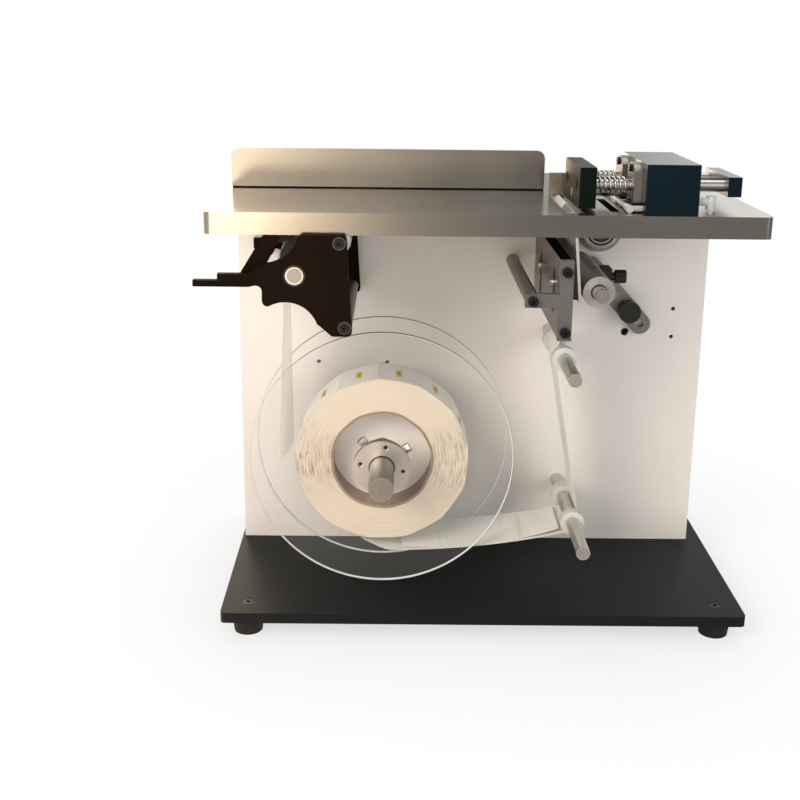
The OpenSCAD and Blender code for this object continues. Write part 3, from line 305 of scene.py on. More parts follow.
# in mm: the middle of the base's front edge in the row frame, and the tops of the base and of the table
OX, OY, Z0 = 5.75, -113.5, 22.0
ZT = Z0 + 295.0
REEL = (-75.4, Z0 + 101.2)
WEB_Y = (52.5, 95.5)
WEB_W = WEB_Y[1] - WEB_Y[0]
TURN = 2 * math.pi
rng = random.Random(7)


def row(x, y, z):
    """Point on the machine, counted from the middle of the base's front edge, in the row frame."""
    return Vector(((x + OX) * MM, (y + OY) * MM, z * MM))


def polar(c, r, a):
    """Point at a radius and an angle in radians about a centre, in width and height."""
    return c[0] + r * math.cos(a), c[1] + r * math.sin(a)


def make(name, verts, faces, look, body, angle, origin=None):
    """Piece of a mesh in the row frame, with its edges sharp above the angle in degrees."""
    me = bpy.data.meshes.new(name)
    o = bpy.data.objects.new(name, me)
    scene.collection.objects.link(o)
    base = Vector(origin) if origin is not None else Vector((0, 0, 0))
    me.from_pydata([tuple(Vector(v) - base) for v in verts], [], faces)
    bm = bmesh.new()
    bm.from_mesh(me)
    bmesh.ops.recalc_face_normals(bm, faces=bm.faces)
    bm.to_mesh(me)
    bm.free()
    for f in me.polygons:
        f.use_smooth = True
    me.set_sharp_from_angle(angle=math.radians(angle))
    me.materials.append(look)
    o.location = base
    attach(o, body)
    return o


def lathe(name, c, profile, look, body, segs, shape):
    """Closed ring round an axis along Y: profile is a loop of (share, y), and shape gives the radius."""
    verts, faces = [], []
    n = len(profile)
    for i in range(segs):
        a = TURN * i / segs
        for j, (share, y) in enumerate(profile):
            x, z = polar(c, shape(share, a, j), a)
            verts.append(row(x, y, z))
    for i in range(segs):
        for j in range(n):
            a, b = i * n, (i + 1) % segs * n
            k = (j + 1) % n
            faces.append((a + j, a + k, b + k, b + j))
    return make(name, verts, faces, look, body, 40.0, row(c[0], profile[0][1], c[1]))


def tube(name, path, radius, look, body, sides, bore=0.0, start_side=(0, 0, 1)):
    """Round tube along a path in the row frame, hollow if it has a bore."""
    pts = [Vector(v) for v in path]
    side = Vector(start_side)
    rings = []
    for i, c in enumerate(pts):
        t = (pts[min(i + 1, len(pts) - 1)] - pts[max(i - 1, 0)]).normalized()
        side = (side - t * side.dot(t)).normalized()
        rings.append((c, side.copy(), t.cross(side)))
    verts, faces = [], []
    radii = [radius] + ([bore] if bore else [])
    for r in radii:
        for c, u, v in rings:
            for k in range(sides):
                a = TURN * k / sides
                verts.append(c + r * (math.cos(a) * u + math.sin(a) * v))
    m = len(pts)
    for w in range(len(radii)):
        o = w * m * sides
        for i in range(m - 1):
            a, b = o + i * sides, o + (i + 1) * sides
            for k in range(sides):
                k2 = (k + 1) % sides
                faces.append((a + k, b + k, b + k2, a + k2))
    for i in (0, m - 1):
        if bore:
            o = m * sides
            for k in range(sides):
                k2 = (k + 1) % sides
                faces.append((i * sides + k, i * sides + k2, o + i * sides + k2, o + i * sides + k))
        else:
            faces.append(tuple(i * sides + k for k in range(sides)))
    return make(name, verts, faces, look, body, 60.0)


def strip(name, path, y1, y2, thick, look, body, slot, across, wave):
    """Thin sheet of a path in width and height, from y1 to y2, moved sideways by the wave."""
    n = len(path)
    side = []
    for i in range(n):
        a, b = path[max(i - 1, 0)], path[min(i + 1, n - 1)]
        d = Vector((b[0] - a[0], b[1] - a[1])).normalized()
        side.append((-d[1], d[0]))
    verts, faces = [], []
    for s in (0.5, -0.5):
        for i in range(n):
            for k in range(across + 1):
                y = y1 + (y2 - y1) * k / across
                w = thick * s + wave(i / (n - 1), k / across)
                verts.append(row(path[i][0] + side[i][0] * w, y, path[i][1] + side[i][1] * w))
    m = across + 1
    half = n * m
    for i in range(n - 1):
        for k in range(across):
            q = (i * m + k, i * m + k + 1, (i + 1) * m + k + 1, (i + 1) * m + k)
            faces.append(q)
            faces.append(tuple(half + v for v in reversed(q)))
    for i in range(n - 1):
        for k in (0, across):
            faces.append((i * m + k, (i + 1) * m + k, half + (i + 1) * m + k, half + i * m + k))
    for i in (0, n - 1):
        for k in range(across):
            faces.append((i * m + k, i * m + k + 1, half + i * m + k + 1, half + i * m + k))
    return make(name, verts, faces, look, body, 50.0)


def arc(c, r, a1, a2, n):
    """Points of an arc, angles in degrees."""
    return [polar(c, r, math.radians(a1 + (a2 - a1) * i / n)) for i in range(n + 1)]


def ang(a, b):
    """Direction in degrees from one point to another."""
    return math.degrees(math.atan2(b[1] - a[1], b[0] - a[0]))


def dist(a, b):
    """Distance between two points."""
    return math.hypot(b[0] - a[0], b[1] - a[1])


def dense(path, step):
    """The same path with points at most step apart."""
    out = [path[0]]
    for a, b in zip(path, path[1:]):
        n = max(1, math.ceil(dist(a, b) / step))
        out += [(a[0] + (b[0] - a[0]) * i / n, a[1] + (b[1] - a[1]) * i / n) for i in range(1, n + 1)]
    return out


# the wound roll: thirteen labels a turn make its rim a soft polygon, and it sags a little on its core plug
SIDES = 13
FIRST = math.radians(79.0)
ROLL_R, CORE_IN, CORE_OUT = 65.0, 36.6, 38.5
DROP, PLUG_R, PLUG_Y = 1.8, 38.0, 72.5
SLEEVE_Y = PLUG_Y - 6.5
ROLL_C = (REEL[0], REEL[1] - DROP)


def lump(a):
    """Unevenness of the core at an angle."""
    return 0.15 + 0.22 * math.sin(5 * a + 0.6) + 0.18 * math.sin(9 * a + 2.0) + 0.12 * math.sin(14 * a + 4.0)


def on_plug(a, gap):
    """Radius about the roll's middle of a round that clears the plug by the gap."""
    return PLUG_R + gap + DROP * math.sin(a)


LABEL_STEP = TURN / SIDES


def rim(a):
    """Radius of the roll's rim at an angle."""
    t = ((a - FIRST) / LABEL_STEP + 0.5) % 1.0 - 0.5
    flat = ROLL_R * math.cos(LABEL_STEP / 2) / math.cos(t * LABEL_STEP)
    return ROLL_R - 0.55 * (ROLL_R - flat) - 0.2 * (1 + math.sin(3 * a + 1)) + 0.9 * math.cos(2 * a)


RINGS = 34
slip = [0.0] + [0.28 * rng.random() for _ in range(RINGS - 1)] + [0.0]
roll_profile = (
    [(i / RINGS, WEB_Y[0] + slip[i]) for i in range(RINGS + 1)]
    + [(1.0, WEB_Y[0] + WEB_W * k / 6) for k in range(1, 6)]
    + [(i / RINGS, WEB_Y[1] - slip[i]) for i in range(RINGS, -1, -1)]
    + [(0.0, PLUG_Y - 1.5), (0.0, SLEEVE_Y)]
)


def roll_shape(t, a, j):
    """Radius of the roll's profile point of that number, which lies a share of the way out to the rim."""
    wide = RINGS + 6 <= j < len(roll_profile) - 1
    inner = on_plug(a, 2.6) if wide else CORE_OUT + lump(a)
    return inner + (rim(a) - inner) * t


def core_shape(_, a, j):
    """Radius of the core's profile point of that number."""
    if j in (0, 7):
        return CORE_IN + lump(a)
    if j in (1, 2):
        return CORE_OUT + 0.9 * lump(a)
    return on_plug(a, 2.55 if j < 5 else 0.08)


def roll_look():
    """Cream paper edges in fine rings, with grey-brown streaks at the two sides."""
    k = Look("roll_edges", (0.74, 0.67, 0.55), 0.72)
    axes = k.add("ShaderNodeSeparateXYZ")
    k.link(k.place(), axes.inputs[0])
    wide, high = axes.outputs[0], axes.outputs[2]
    length = k.add("ShaderNodeVectorMath", operation="LENGTH")
    k.link(k.joined(wide, high), length.inputs[0])
    radius = length.outputs["Value"]
    level = k.add("ShaderNodeMath", operation="ABSOLUTE")
    k.link(high, level.inputs[0])
    share = k.add("ShaderNodeMath", operation="DIVIDE")
    k.link(level.outputs[0], share.inputs[0])
    k.link(radius, share.inputs[1])
    at_sides = k.span(share.outputs[0], 1.0, 0.0, 0.22, 0.62)
    streak = k.field(k.joined(k.times(radius, 1000.0), k.times(high, 75.0)), 4.0, 0.62)
    patch = k.span(k.noise(75.0, 3.0, 0.6), 0.25, 1.0, 0.38, 0.6)
    dark = k.times(k.times(k.span(streak, 0.0, 1.0, 0.42, 0.66), patch), at_sides)
    fine = k.field(k.times(radius, 2600.0), 2.0, 0.5)
    k.tint(k.blend(fine, 0.14, dark), (0.61, 0.515, 0.40), (0.19, 0.145, 0.11), 0.05, 1.0)
    k.bump(fine, 0.00012, 0.5)
    return k.mat


wound = lathe("wound_roll", ROLL_C, roll_profile, roll_look(), "reel", SIDES * 14, roll_shape)
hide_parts("label_roll")
CORE_Y = (WEB_Y[0] - 0.4, WEB_Y[1])
core_ends = (CORE_Y[0], CORE_Y[0], SLEEVE_Y, SLEEVE_Y + 5, CORE_Y[1], CORE_Y[1], PLUG_Y - 0.2, SLEEVE_Y)
core_profile = [(0.0, y) for y in core_ends]
core = lathe("core_tube", ROLL_C, core_profile, M["core_card"], "reel", SIDES * 12, core_shape)
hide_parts("paper_core")

label_white = painted("label_stock", (0.72, 0.705, 0.665), 0.42, 900.0, 0.00002, 0.02)
mark_ochre = painted("mark_ochre", (0.66, 0.50, 0.035), 0.6, 1500.0, 0.00002, 0.2)
mark_dark = painted("mark_dark", (0.06, 0.05, 0.03), 0.6, 1500.0, 0.00002, 0.1)


def rim_patch(a1, a2, y1, y2, lift, n):
    """Closed curved patch on the roll's rim."""
    verts, faces = [], []
    for h in (0.02, lift):
        for i in range(n + 1):
            a = a1 + (a2 - a1) * i / n
            x, z = polar(ROLL_C, rim(a) + h, a)
            verts += [row(x, y, z) for y in (y1, y2)]
    m = 2 * (n + 1)
    for i in range(n):
        a = 2 * i
        faces += [(a, a + 1, a + 3, a + 2), (m + a, m + a + 2, m + a + 3, m + a + 1)]
        faces += [(a, a + 2, m + a + 2, m + a), (a + 1, m + a + 1, m + a + 3, a + 3)]
    e = 2 * n
    faces += [(0, m, m + 1, 1), (e, e + 1, m + e + 1, m + e)]
    return verts, faces


def gather(name, parts, look, body, origin=None):
    """One piece of several closed shapes."""
    verts, faces = [], []
    for v, f in parts:
        o = len(verts)
        verts += v
        faces += [tuple(i + o for i in q) for q in f]
    return make(name, verts, faces, look, body, 35.0, origin)


label_mid = [FIRST + LABEL_STEP * k for k in range(SIDES)]
LABEL_HALF = 0.495 * LABEL_STEP
LABEL_EDGE = 1.5
LABEL_Y = (WEB_Y[0] + LABEL_EDGE, WEB_Y[1] - LABEL_EDGE)
LABEL_W = LABEL_Y[1] - LABEL_Y[0]
reel_at = row(REEL[0], WEB_Y[0], REEL[1])


def on_labels(a1, a2, y1, y2, lift, n):
    """The same patch on each label of the rim, placed from the label's middle."""
    return [rim_patch(a + a1, a + a2, y1, y2, lift, n) for a in label_mid]


stock = on_labels(-LABEL_HALF, LABEL_HALF, *LABEL_Y, 0.14, 10)
gather("rim_labels", stock, label_white, "reel", reel_at)
gather("rim_marks", on_labels(-0.036, 0.036, 63.5, 81.5, 0.2, 3), mark_ochre, "reel", reel_at)
bars = on_labels(-0.02, -0.004, 68, 77, 0.24, 1) + on_labels(0.008, 0.02, 70, 75, 0.24, 1)
gather("rim_bars", bars, mark_dark, "reel", reel_at)

# label web and bare liner along their threaded route, in width and height; HALF is their distance from what
# they run over
HALF = 0.5
LOW, UPPER = (68.9, Z0 + 53.5), (57.1, Z0 + 181.8)
TIP = (54.4, ZT - 0.2)
LEAN = 0.0953


def peel_at(z):
    """Where the leaning peel plate stands at a height."""
    return TIP[0] + (TIP[1] - z) * LEAN


ROD_R = 5 + HALF
leave = ang(ROLL_C, LOW) + math.degrees(math.asin((ROLL_R + HALF - ROD_R) / dist(ROLL_C, LOW))) - 90
up_in = ang(LOW, UPPER) + math.degrees(math.asin(2 * ROD_R / dist(LOW, UPPER))) + 90
heel = (peel_at(Z0 + 233) + 1.9, Z0 + 229.7)
up_out = ang(UPPER, heel) + math.degrees(math.acos(ROD_R / dist(UPPER, heel)))
WRAP, WRAP_N, WRAP_LIFT = 26, 12, 0.35


def web_start():
    """Points where the web lies on the rim and lifts off to the round that it leaves."""
    out = []
    for i in range(WRAP_N):
        t = i / WRAP_N
        a = math.radians(leave - WRAP * (1 - t))
        low = rim(a) + WRAP_LIFT
        out.append(polar(ROLL_C, low + (ROLL_R + HALF - low) * t ** 2, a))
    return out


on_roll = web_start()
web_path = (
    on_roll
    + arc(ROLL_C, ROLL_R + HALF, leave, leave, 1)[:1]
    + arc(LOW, ROD_R, leave, up_in - 180, 18)
    + arc(UPPER, ROD_R, up_in, up_out, 6)
    + [heel, (peel_at(TIP[1] - 4) + 1.5, TIP[1] - 4), (TIP[0] + 0.9, TIP[1] - 0.1), (TIP[0], TIP[1] + HALF)]
)


def length_of(path):
    """Length along a path."""
    return sum(dist(a, b) for a, b in zip(path, path[1:]))


web_line = dense(web_path, 6.0)
web_len = length_of(web_line)
LOOSE = (length_of(on_roll) - 16, length_of(on_roll) + dist(on_roll[-1], web_path[len(on_roll) + 1]))
SAG_FRONT, SAG_LESS = 10.5, 5.0


def web_sag(s, k):
    """Sideways drop of the slack web at a length along it, deeper at its front edge."""
    t = (s - LOOSE[0]) / (LOOSE[1] - LOOSE[0])
    return -4 * (SAG_FRONT - SAG_LESS * k) * t * (1 - t) if 0 < t < 1 else 0.0


web = strip("web_sheet", web_line, WEB_Y[0], WEB_Y[1], 0.3, M["web_paper"], "frame", "web_paper", 6,
            lambda s, k: web_sag(s * web_len, k))
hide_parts("label_web")

PIN, SPACER, DRIVE = (45.0, Z0 + 288.5), (-104.4, Z0 + 275.4), (-134.4, Z0 + 253.3)
PIN_R, SPACER_R, DRIVE_R = 3 + HALF, 5 + HALF, 15.5 + HALF
tip_left = (TIP[0] - 1, TIP[1] + 0.2)
pin_in = ang(PIN, tip_left) - math.degrees(math.acos(PIN_R / dist(PIN, tip_left)))
spa_in = ang(SPACER, PIN) + math.degrees(math.acos((PIN_R + SPACER_R) / dist(PIN, SPACER)))
spa_out = ang(DRIVE, SPACER) + math.degrees(math.acos((DRIVE_R - SPACER_R) / dist(SPACER, DRIVE)))
NIP_WAY = (-0.584, 0.812)
out_a = math.degrees(math.atan2(NIP_WAY[1], NIP_WAY[0])) + 8
tail = arc(DRIVE, DRIVE_R, out_a, out_a, 1)[0]
tail_x = DRIVE[0] - 15.5
tail_end = Z0 + 97.0
FOLD_Z = DRIVE[1] - 59
hang = [
    (tail[0] - 4.2, tail[1] - 4.6), (tail_x - 1.9, DRIVE[1] + 1), (tail_x - 1.6, DRIVE[1] - 9),
    (tail_x + 1.2, DRIVE[1] - 25), (tail_x + 2.5, DRIVE[1] - 38), (tail_x + 2.3, FOLD_Z),
    (tail_x + 1.6, (FOLD_Z + tail_end) / 2), (tail_x + 0.8, tail_end),
]
liner_path = (
    [(TIP[0], TIP[1] + HALF), tip_left]
    + arc(PIN, PIN_R, pin_in, spa_in - 180, 12)
    + arc(SPACER, SPACER_R, spa_in, spa_out, 6)
    + arc(DRIVE, DRIVE_R, spa_out, out_a, 12)
    + hang
)
liner_line = dense(liner_path, 6.0)
liner_len = length_of(liner_line)
TWIST_LEN, TWIST_END, TWIST_START = 148.0, 11.0, 3.4


def twist(s, k):
    """Turn of the hanging end about its middle."""
    t = max(0.0, 1 - (1 - s) * liner_len / TWIST_LEN)
    return (TWIST_END * t - TWIST_START) * (k - 0.5) * min(1.0, 8 * t)


glassine = clear("bare_liner", (0.95, 0.90, 0.84), 0.34, 0.34)
liner = strip("liner_sheet", liner_line, WEB_Y[0], WEB_Y[1], 0.25, glassine, "frame", "web_paper", 6, twist)
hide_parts("liner")


def sub_path(path, s1, s2, n):
    """n + 1 points of a path between two lengths along it."""
    out, run, i = [], 0.0, 0
    for k in range(n + 1):
        s = s1 + (s2 - s1) * k / n
        while i < len(path) - 2 and run + dist(path[i], path[i + 1]) < s:
            run += dist(path[i], path[i + 1])
            i += 1
        a, b = path[i], path[i + 1]
        t = (s - run) / (dist(a, b) or 1.0)
        out.append((a[0] + (b[0] - a[0]) * t, a[1] + (b[1] - a[1]) * t))
    return out


def beside(path, d):
    """The path moved to its right-hand side by d."""
    out = []
    for i in range(len(path)):
        a, b = path[max(i - 1, 0)], path[min(i + 1, len(path) - 1)]
        t = Vector((b[0] - a[0], b[1] - a[1])).normalized()
        out.append((path[i][0] + t[1] * d, path[i][1] - t[0] * d))
    return out


FIRST_LABEL, LABEL_PITCH, LABEL_LEN, BARE_LEN = 38, 31, 28, 45


def web_label(name, s):
    """One die-cut label on the web, from a length along it."""
    line = beside(sub_path(web_line, s, s + LABEL_LEN, 14), 0.24)
    strip(name, line, *LABEL_Y, 0.12, label_white, "frame", "web_paper", 4,
          lambda u, v: web_sag(s + LABEL_LEN * u, (LABEL_EDGE + LABEL_W * v) / WEB_W))


for k in range(int((web_len - BARE_LEN) // LABEL_PITCH)):
    web_label("web_label_%02d" % k, FIRST_LABEL + LABEL_PITCH * k)

# return springs, wound finer than their solids and squeezed by the pusher
SPRING_X = (69.8, 94.7)
WIRE, COIL_R, COILS = 1.4, 5.15, 6


def spring_line():
    """Helix along X about nought, with a short straight piece at each end."""
    lead = 1.6 * WIRE
    n = COILS * 32
    x1, x2 = SPRING_X
    pts = [(x, COIL_R, 0.0) for x in (x1, x1 + 0.5 * WIRE, x1 + WIRE)]
    for i in range(3, n - 2):
        a = TURN * COILS * i / n
        pts.append((x1 + lead + (x2 - x1 - 2 * lead) * i / n, COIL_R * math.cos(a), COIL_R * math.sin(a)))
    return pts + [(x, COIL_R, 0.0) for x in (x2 - WIRE, x2 - 0.5 * WIRE, x2)]


ROD_Z = ZT + 16.3
for name, y in (("spring_front", 32.0), ("spring_rear", 76.0)):
    line = [row(px, y + py, ROD_Z + pz) for px, py, pz in spring_line()]
    coil = tube("coil_" + name[7:], line, WIRE / 2 * MM, M["spring_steel"], "frame", 10)
    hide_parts(name)
    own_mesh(coil)

# air hoses with their bore
PAN_B = 137.0
HOSE_Z, HOSE_R, BODY_Y = ZT - 9.5, 8.0, 4.0
HOSE_Y = BODY_Y + 8.5
HOSE_END = PAN_B + 12
HOSE_A, HOSE_B = 146.0, 91.0
STEM_Z = ZT + 2.8
route_a = (
    [(HOSE_Y, ZT + 6.5), (HOSE_Y, HOSE_Z + HOSE_R + 1)]
    + arc((HOSE_Y + HOSE_R, HOSE_Z + HOSE_R), HOSE_R, 180, 270, 14)
    + [(HOSE_Y + HOSE_R + (HOSE_END - HOSE_Y - HOSE_R) * i / 22, HOSE_Z) for i in range(1, 23)]
)
BEND_Y, BEND_LEN = 84.0, 18


def bend_z(t):
    """Height of hose_b at a share of its bend."""
    return STEM_Z + (HOSE_Z - STEM_Z) * (1 - math.cos(math.pi * t)) / 2


route_b = (
    [(HOSE_Y + 2.5 + (BEND_Y - HOSE_Y - 2.5) * i / 14, STEM_Z) for i in range(15)]
    + [(BEND_Y + BEND_LEN * i / 16, bend_z(i / 16)) for i in range(1, 17)]
    + [(BEND_Y + BEND_LEN + (HOSE_END - BEND_Y - BEND_LEN) * i / 8, HOSE_Z) for i in range(1, 9)]
)
for name, x, route in (("hose_a", HOSE_A, route_a), ("hose_b", HOSE_B, route_b)):
    line = [row(x, y, z) for y, z in route]
    hose = tube(name, line, 1.9 * MM, M["hose_clear"], "frame", 16, 1.2 * MM, (1, 0, 0))
    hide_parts("air_hoses")

# ---- small details


def annulus(c, r1, r2, y1, y2, n=40):
    """Flat ring round an axis along Y, or a disc where the inner radius is nought."""
    verts, faces = [], []
    for i in range(n):
        for rad, y in ((r1, y1), (r2, y1), (r2, y2), (r1, y2)):
            x, z = polar(c, rad, TURN * i / n)
            verts.append(row(x, y, z))
    if r1 == 0:
        verts = [v for i, v in enumerate(verts) if i % 4 in (1, 2)]
        faces = [(2 * i, 2 * i + 1, (2 * i + 3) % (2 * n), (2 * i + 2) % (2 * n)) for i in range(n)]
        return verts, faces + [tuple(range(0, 2 * n, 2)), tuple(range(1, 2 * n, 2))]
    for i in range(n):
        for j in range(4):
            a, b, k = 4 * i, 4 * ((i + 1) % n), (j + 1) % 4
            faces.append((a + j, a + k, b + k, b + j))
    return verts, faces


def block(x1, x2, y1, y2, z1, z2):
    """Box between two values on each axis."""
    verts = [row(x, y, z) for x in (x1, x2) for y in (y1, y2) for z in (z1, z2)]
    return verts, [(0, 1, 3, 2), (4, 6, 7, 5), (0, 4, 5, 1), (2, 3, 7, 6), (0, 2, 6, 4), (1, 5, 7, 3)]


# besides real bearing parts and turning marks, these also carry painted light below: the race steel as
# painted highlights in the hub's holes, the seal black as painted shade in holes, gaps, a groove and sockets,
# the lathe-mark grey as painted highlights round two screws; the dull black is only painted shade
race_and_highlight = turned("bearing_race", (0.50, 0.49, 0.47), 0.26, 1)
seal_and_shade = painted("bearing_seal", (0.010, 0.010, 0.011), 0.5, 1500.0, 0.00002, 0.1, shine=0.3)
painted_shade_black = painted("painted_shade_black", (0.004, 0.004, 0.004), 0.9, 1500.0, 0.00002, 0.1, shine=0.0)
lathe_mark_and_highlight = turned("lathe_mark_and_highlight", (0.20, 0.19, 0.18), 0.4, 1)
# axes of the spare bearing and of the return roller, and the front of the bearing housings
SPARE, RETURN = (93.0, Z0 + 264.0), (72.7, Z0 + 240.8)
HOUSE_Y = 122.0
gather("drive_bearing_race", [annulus(DRIVE, 5.15, 6.0, -9.35, -8.9)], race_and_highlight, "frame")
# dark ring outside the drive bearing's race: painted shade round the bearing
gather("drive_bearing_shade_ring", [annulus(DRIVE, 6.02, 7.4, -9.15, -8.9)], seal_and_shade, "frame")
races = [annulus(c, *r, HOUSE_Y - 0.18, HOUSE_Y + 0.1)
         for c in (SPARE, REEL) for r in ((11.7, 14.0), (9.15, 10.1))]
gather("housing_races", races, race_and_highlight, "frame")
seals = [annulus(c, 10.15, 11.65, HOUSE_Y - 0.08, HOUSE_Y + 0.1) for c in (SPARE, REEL)]
gather("housing_seals", seals, seal_and_shade, "frame")


def end_rings(c, rad, y):
    """Turning marks on the end face of a shaft."""
    out = [annulus(c, rad * k, rad * (k + 0.045), y - 0.03, y + 0.1, 36) for k in (0.26, 0.44, 0.60, 0.75)]
    return out + [annulus(c, 0, rad * 0.12, y - 0.03, y + 0.1, 20)]


rod_rings = end_rings(UPPER, 5, -8.5) + end_rings(LOW, 5, -8.5) + end_rings(RETURN, 5, -9)
gather("rod_end_rings", rod_rings, lathe_mark_and_highlight, "frame")
gather("drive_end_rings", end_rings(DRIVE, 5, -10), lathe_mark_and_highlight, "drive")
gather("spindle_end_rings", end_rings(REEL, 9, -10), lathe_mark_and_highlight, "reel")

# dark ring at the roller's face round the return shaft, and a dark band for the groove on the shaft: painted
# shade of the gap and of the groove
shaft_shades = [annulus(RETURN, 5.03, 5.7, 5.86, 5.97), annulus(RETURN, 4.9, 5.04, -7.7, -7.3)]
gather("return_shaft_painted_shades", shaft_shades, seal_and_shade, "frame")
plate_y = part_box("drive_front_plate")[0].y / MM - OY
plate_screws = (SPACER, (-100.9, Z0 + 217.6))
# thin lighter rings round the two drive-plate screws: painted highlights on the edges of their counterbores
screw_rim_highlights = [annulus(c, 4.0, 4.22, plate_y - 0.05, plate_y + 0.02) for c in plate_screws]
gather("plate_screw_rim_highlights", screw_rim_highlights, lathe_mark_and_highlight, "frame")

# front of the lock hub and its ring of small holes: painted shade in the holes and round the spindle's bore,
# and painted highlights on the hole walls
HUB_Y = 31.5
hub_holes = [polar(REEL, 16, math.radians(a)) for a in (80, 170, 260, 350)]
hole_shades = [annulus(c, 0, 1.45, HUB_Y + 1.5, HUB_Y + 2.0, 24) for c in hub_holes]
gather("hub_hole_shades", hole_shades, seal_and_shade, "lock")
# bright rings: painted highlights where light falls on the hole walls
hole_wall_highlights = [annulus(c, 1.47, 2.27, HUB_Y + 1.4, HUB_Y + 2.0, 24) for c in hub_holes]
gather("hub_hole_wall_highlights", hole_wall_highlights, race_and_highlight, "lock")
bore_shade = annulus(REEL, 9.12, 9.75, HUB_Y - 0.08, HUB_Y - 0.01, 48)
gather("hub_bore_shade", [bore_shade], seal_and_shade, "lock")
fence_x = [v.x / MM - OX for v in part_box("fence")]
# dark strip along the foot of the fence on the table: painted shade of the gap under the fence
gap_shade = block(fence_x[0] + 0.4, fence_x[1] - 0.4, 123.3, 125.7, ZT + 0.08, ZT + 1.05)
gather("fence_gap_painted_shade", [gap_shade], painted_shade_black, "fence")
gather("spacer_sleeve", [annulus(SPACER, 5.03, 7.6, -2.5, 44)], M["nylon_white"], "frame")

# sawn edges of the two clear discs, frosted, each with a thin grey ring of painted shade just outside it
frost = painted("sawn_acrylic", (0.84, 0.86, 0.86), 0.5, 1200.0, 0.00004, 0.05)
edge_shade = clear("rim_shade", (0.22, 0.21, 0.20), 0.4, 0.75)
for name, y, body in (("front_disc", 48.7, "lock"), ("rear_disc", 96.7, "reel")):
    gather(name + "_rim", [annulus(REEL, 98.02, 98.28, y, y + 2.6, 160)], frost, body)
    gather(name + "_edge", [annulus(REEL, 98.3, 98.56, y, y + 2.6, 160)], edge_shade, body)

# dark tray under the table's open slot, painted shade that makes the slot read dark
tray = [
    block(78.4, 79.2, 13, 80, 305, 315), block(85.8, 86.6, 13, 80, 305, 315),
    block(79.2, 85.8, 13, 80, 305, 306), block(79.2, 85.8, 13, 14, 306, 315),
    block(79.2, 85.8, 79, 80, 306, 315),
]
gather("slot_painted_shade_tray", tray, M["carrier_black"], "frame")

# painted shade: dark fills in the slots of the slotted plate, dark borders on its face beside them, and a
# dark cap on its top under the table
PLATE_X, PLATE_T, PLATE_TOP = 44.0, 8.0, Z0 + 265.0
SLOTS = ((24.0, Z0 + 244.0), (96.0, Z0 + 242.0))
slot_fill_shades = [
    block(PLATE_X + 0.4, PLATE_X + PLATE_T - 0.3, y - 2.25, y + 2.25, z + lo, z + hi)
    for y, z in SLOTS for lo, hi in ((-20, -5.6), (2.6, 8))
]
border_and_top_shades = [
    block(PLATE_X - 0.05, PLATE_X + 0.05, y + a, y + a + 2.0, z - 21, z + 9)
    for y, z in SLOTS for a in (-4.3, 2.3)
]
border_and_top_shades.append(block(PLATE_X + 0.1, PLATE_X + PLATE_T - 0.1, -2.5, 133.5, PLATE_TOP - 0.05, PLATE_TOP + 0.06))
gather("slot_shades", slot_fill_shades + border_and_top_shades, painted_shade_black, "frame")

# screws at the back of the rear housing, with painted shade in their sockets
screw_at = [(x, Z0 + z) for x in (-183.5, 173.5) for z in (20, 147, 270)]
heads = [annulus(c, 0, 3.4, 231.9, 233.4, 28) for c in screw_at]
gather("housing_screws", heads, M["screw_steel"], "frame")
sockets = [annulus(c, 0, 1.4, 233.3, 233.45, 6) for c in screw_at]
gather("housing_socket_shades", sockets, seal_and_shade, "frame")

# ---- stage, light and camera

WHITE = (1, 1, 1, 1)


class Stage:
    """Node tree of the floor or the sky: white where seen, with a look of its own where mirrored."""

    def __init__(self, tree):
        self.tree = tree
        tree.nodes.clear()
        path = self.add("ShaderNodeLightPath")
        self.seen = self.math("MAXIMUM", path.outputs["Is Camera Ray"], path.outputs["Is Transmission Ray"])
        self.mirrored = path.outputs["Is Glossy Ray"]

    def add(self, kind, **inputs):
        n = self.tree.nodes.new(kind)
        for k, v in inputs.items():
            n.inputs[k].default_value = v
        return n

    def link(self, a, b):
        self.tree.links.new(a, b)

    def math(self, kind, a, b):
        """Sum of that kind, of numbers or values."""
        n = self.add("ShaderNodeMath")
        n.operation = kind
        for i, v in enumerate((a, b)):
            if isinstance(v, float):
                n.inputs[i].default_value = v
            else:
                self.link(v, n.inputs[i])
        return n.outputs[0]

    def ramp(self, value, stops):
        """Colour by value, from stops of (place, colour)."""
        n = self.add("ShaderNodeValToRGB")
        e = n.color_ramp.elements
        while len(e) < len(stops):
            e.new(0.5)
        for k, (at, c) in zip(e, stops):
            k.position = at
            k.color = (*c, 1)
        self.link(value, n.inputs["Fac"])
        return n.outputs["Color"]

    def spread(self, value, a, b):
        """The value's range from a to b, laid over nought to one."""
        n = self.add("ShaderNodeMapRange")
        n.inputs["From Min"].default_value = a
        n.inputs["From Max"].default_value = b
        self.link(value, n.inputs["Value"])
        return n.outputs["Result"]

    def mix(self, fac, a, b):
        """Two shaders, the second by the share fac."""
        n = self.add("ShaderNodeMixShader")
        self.link(fac, n.inputs["Fac"])
        self.link(a.outputs[0], n.inputs[1])
        self.link(b.outputs[0], n.inputs[2])
        return n


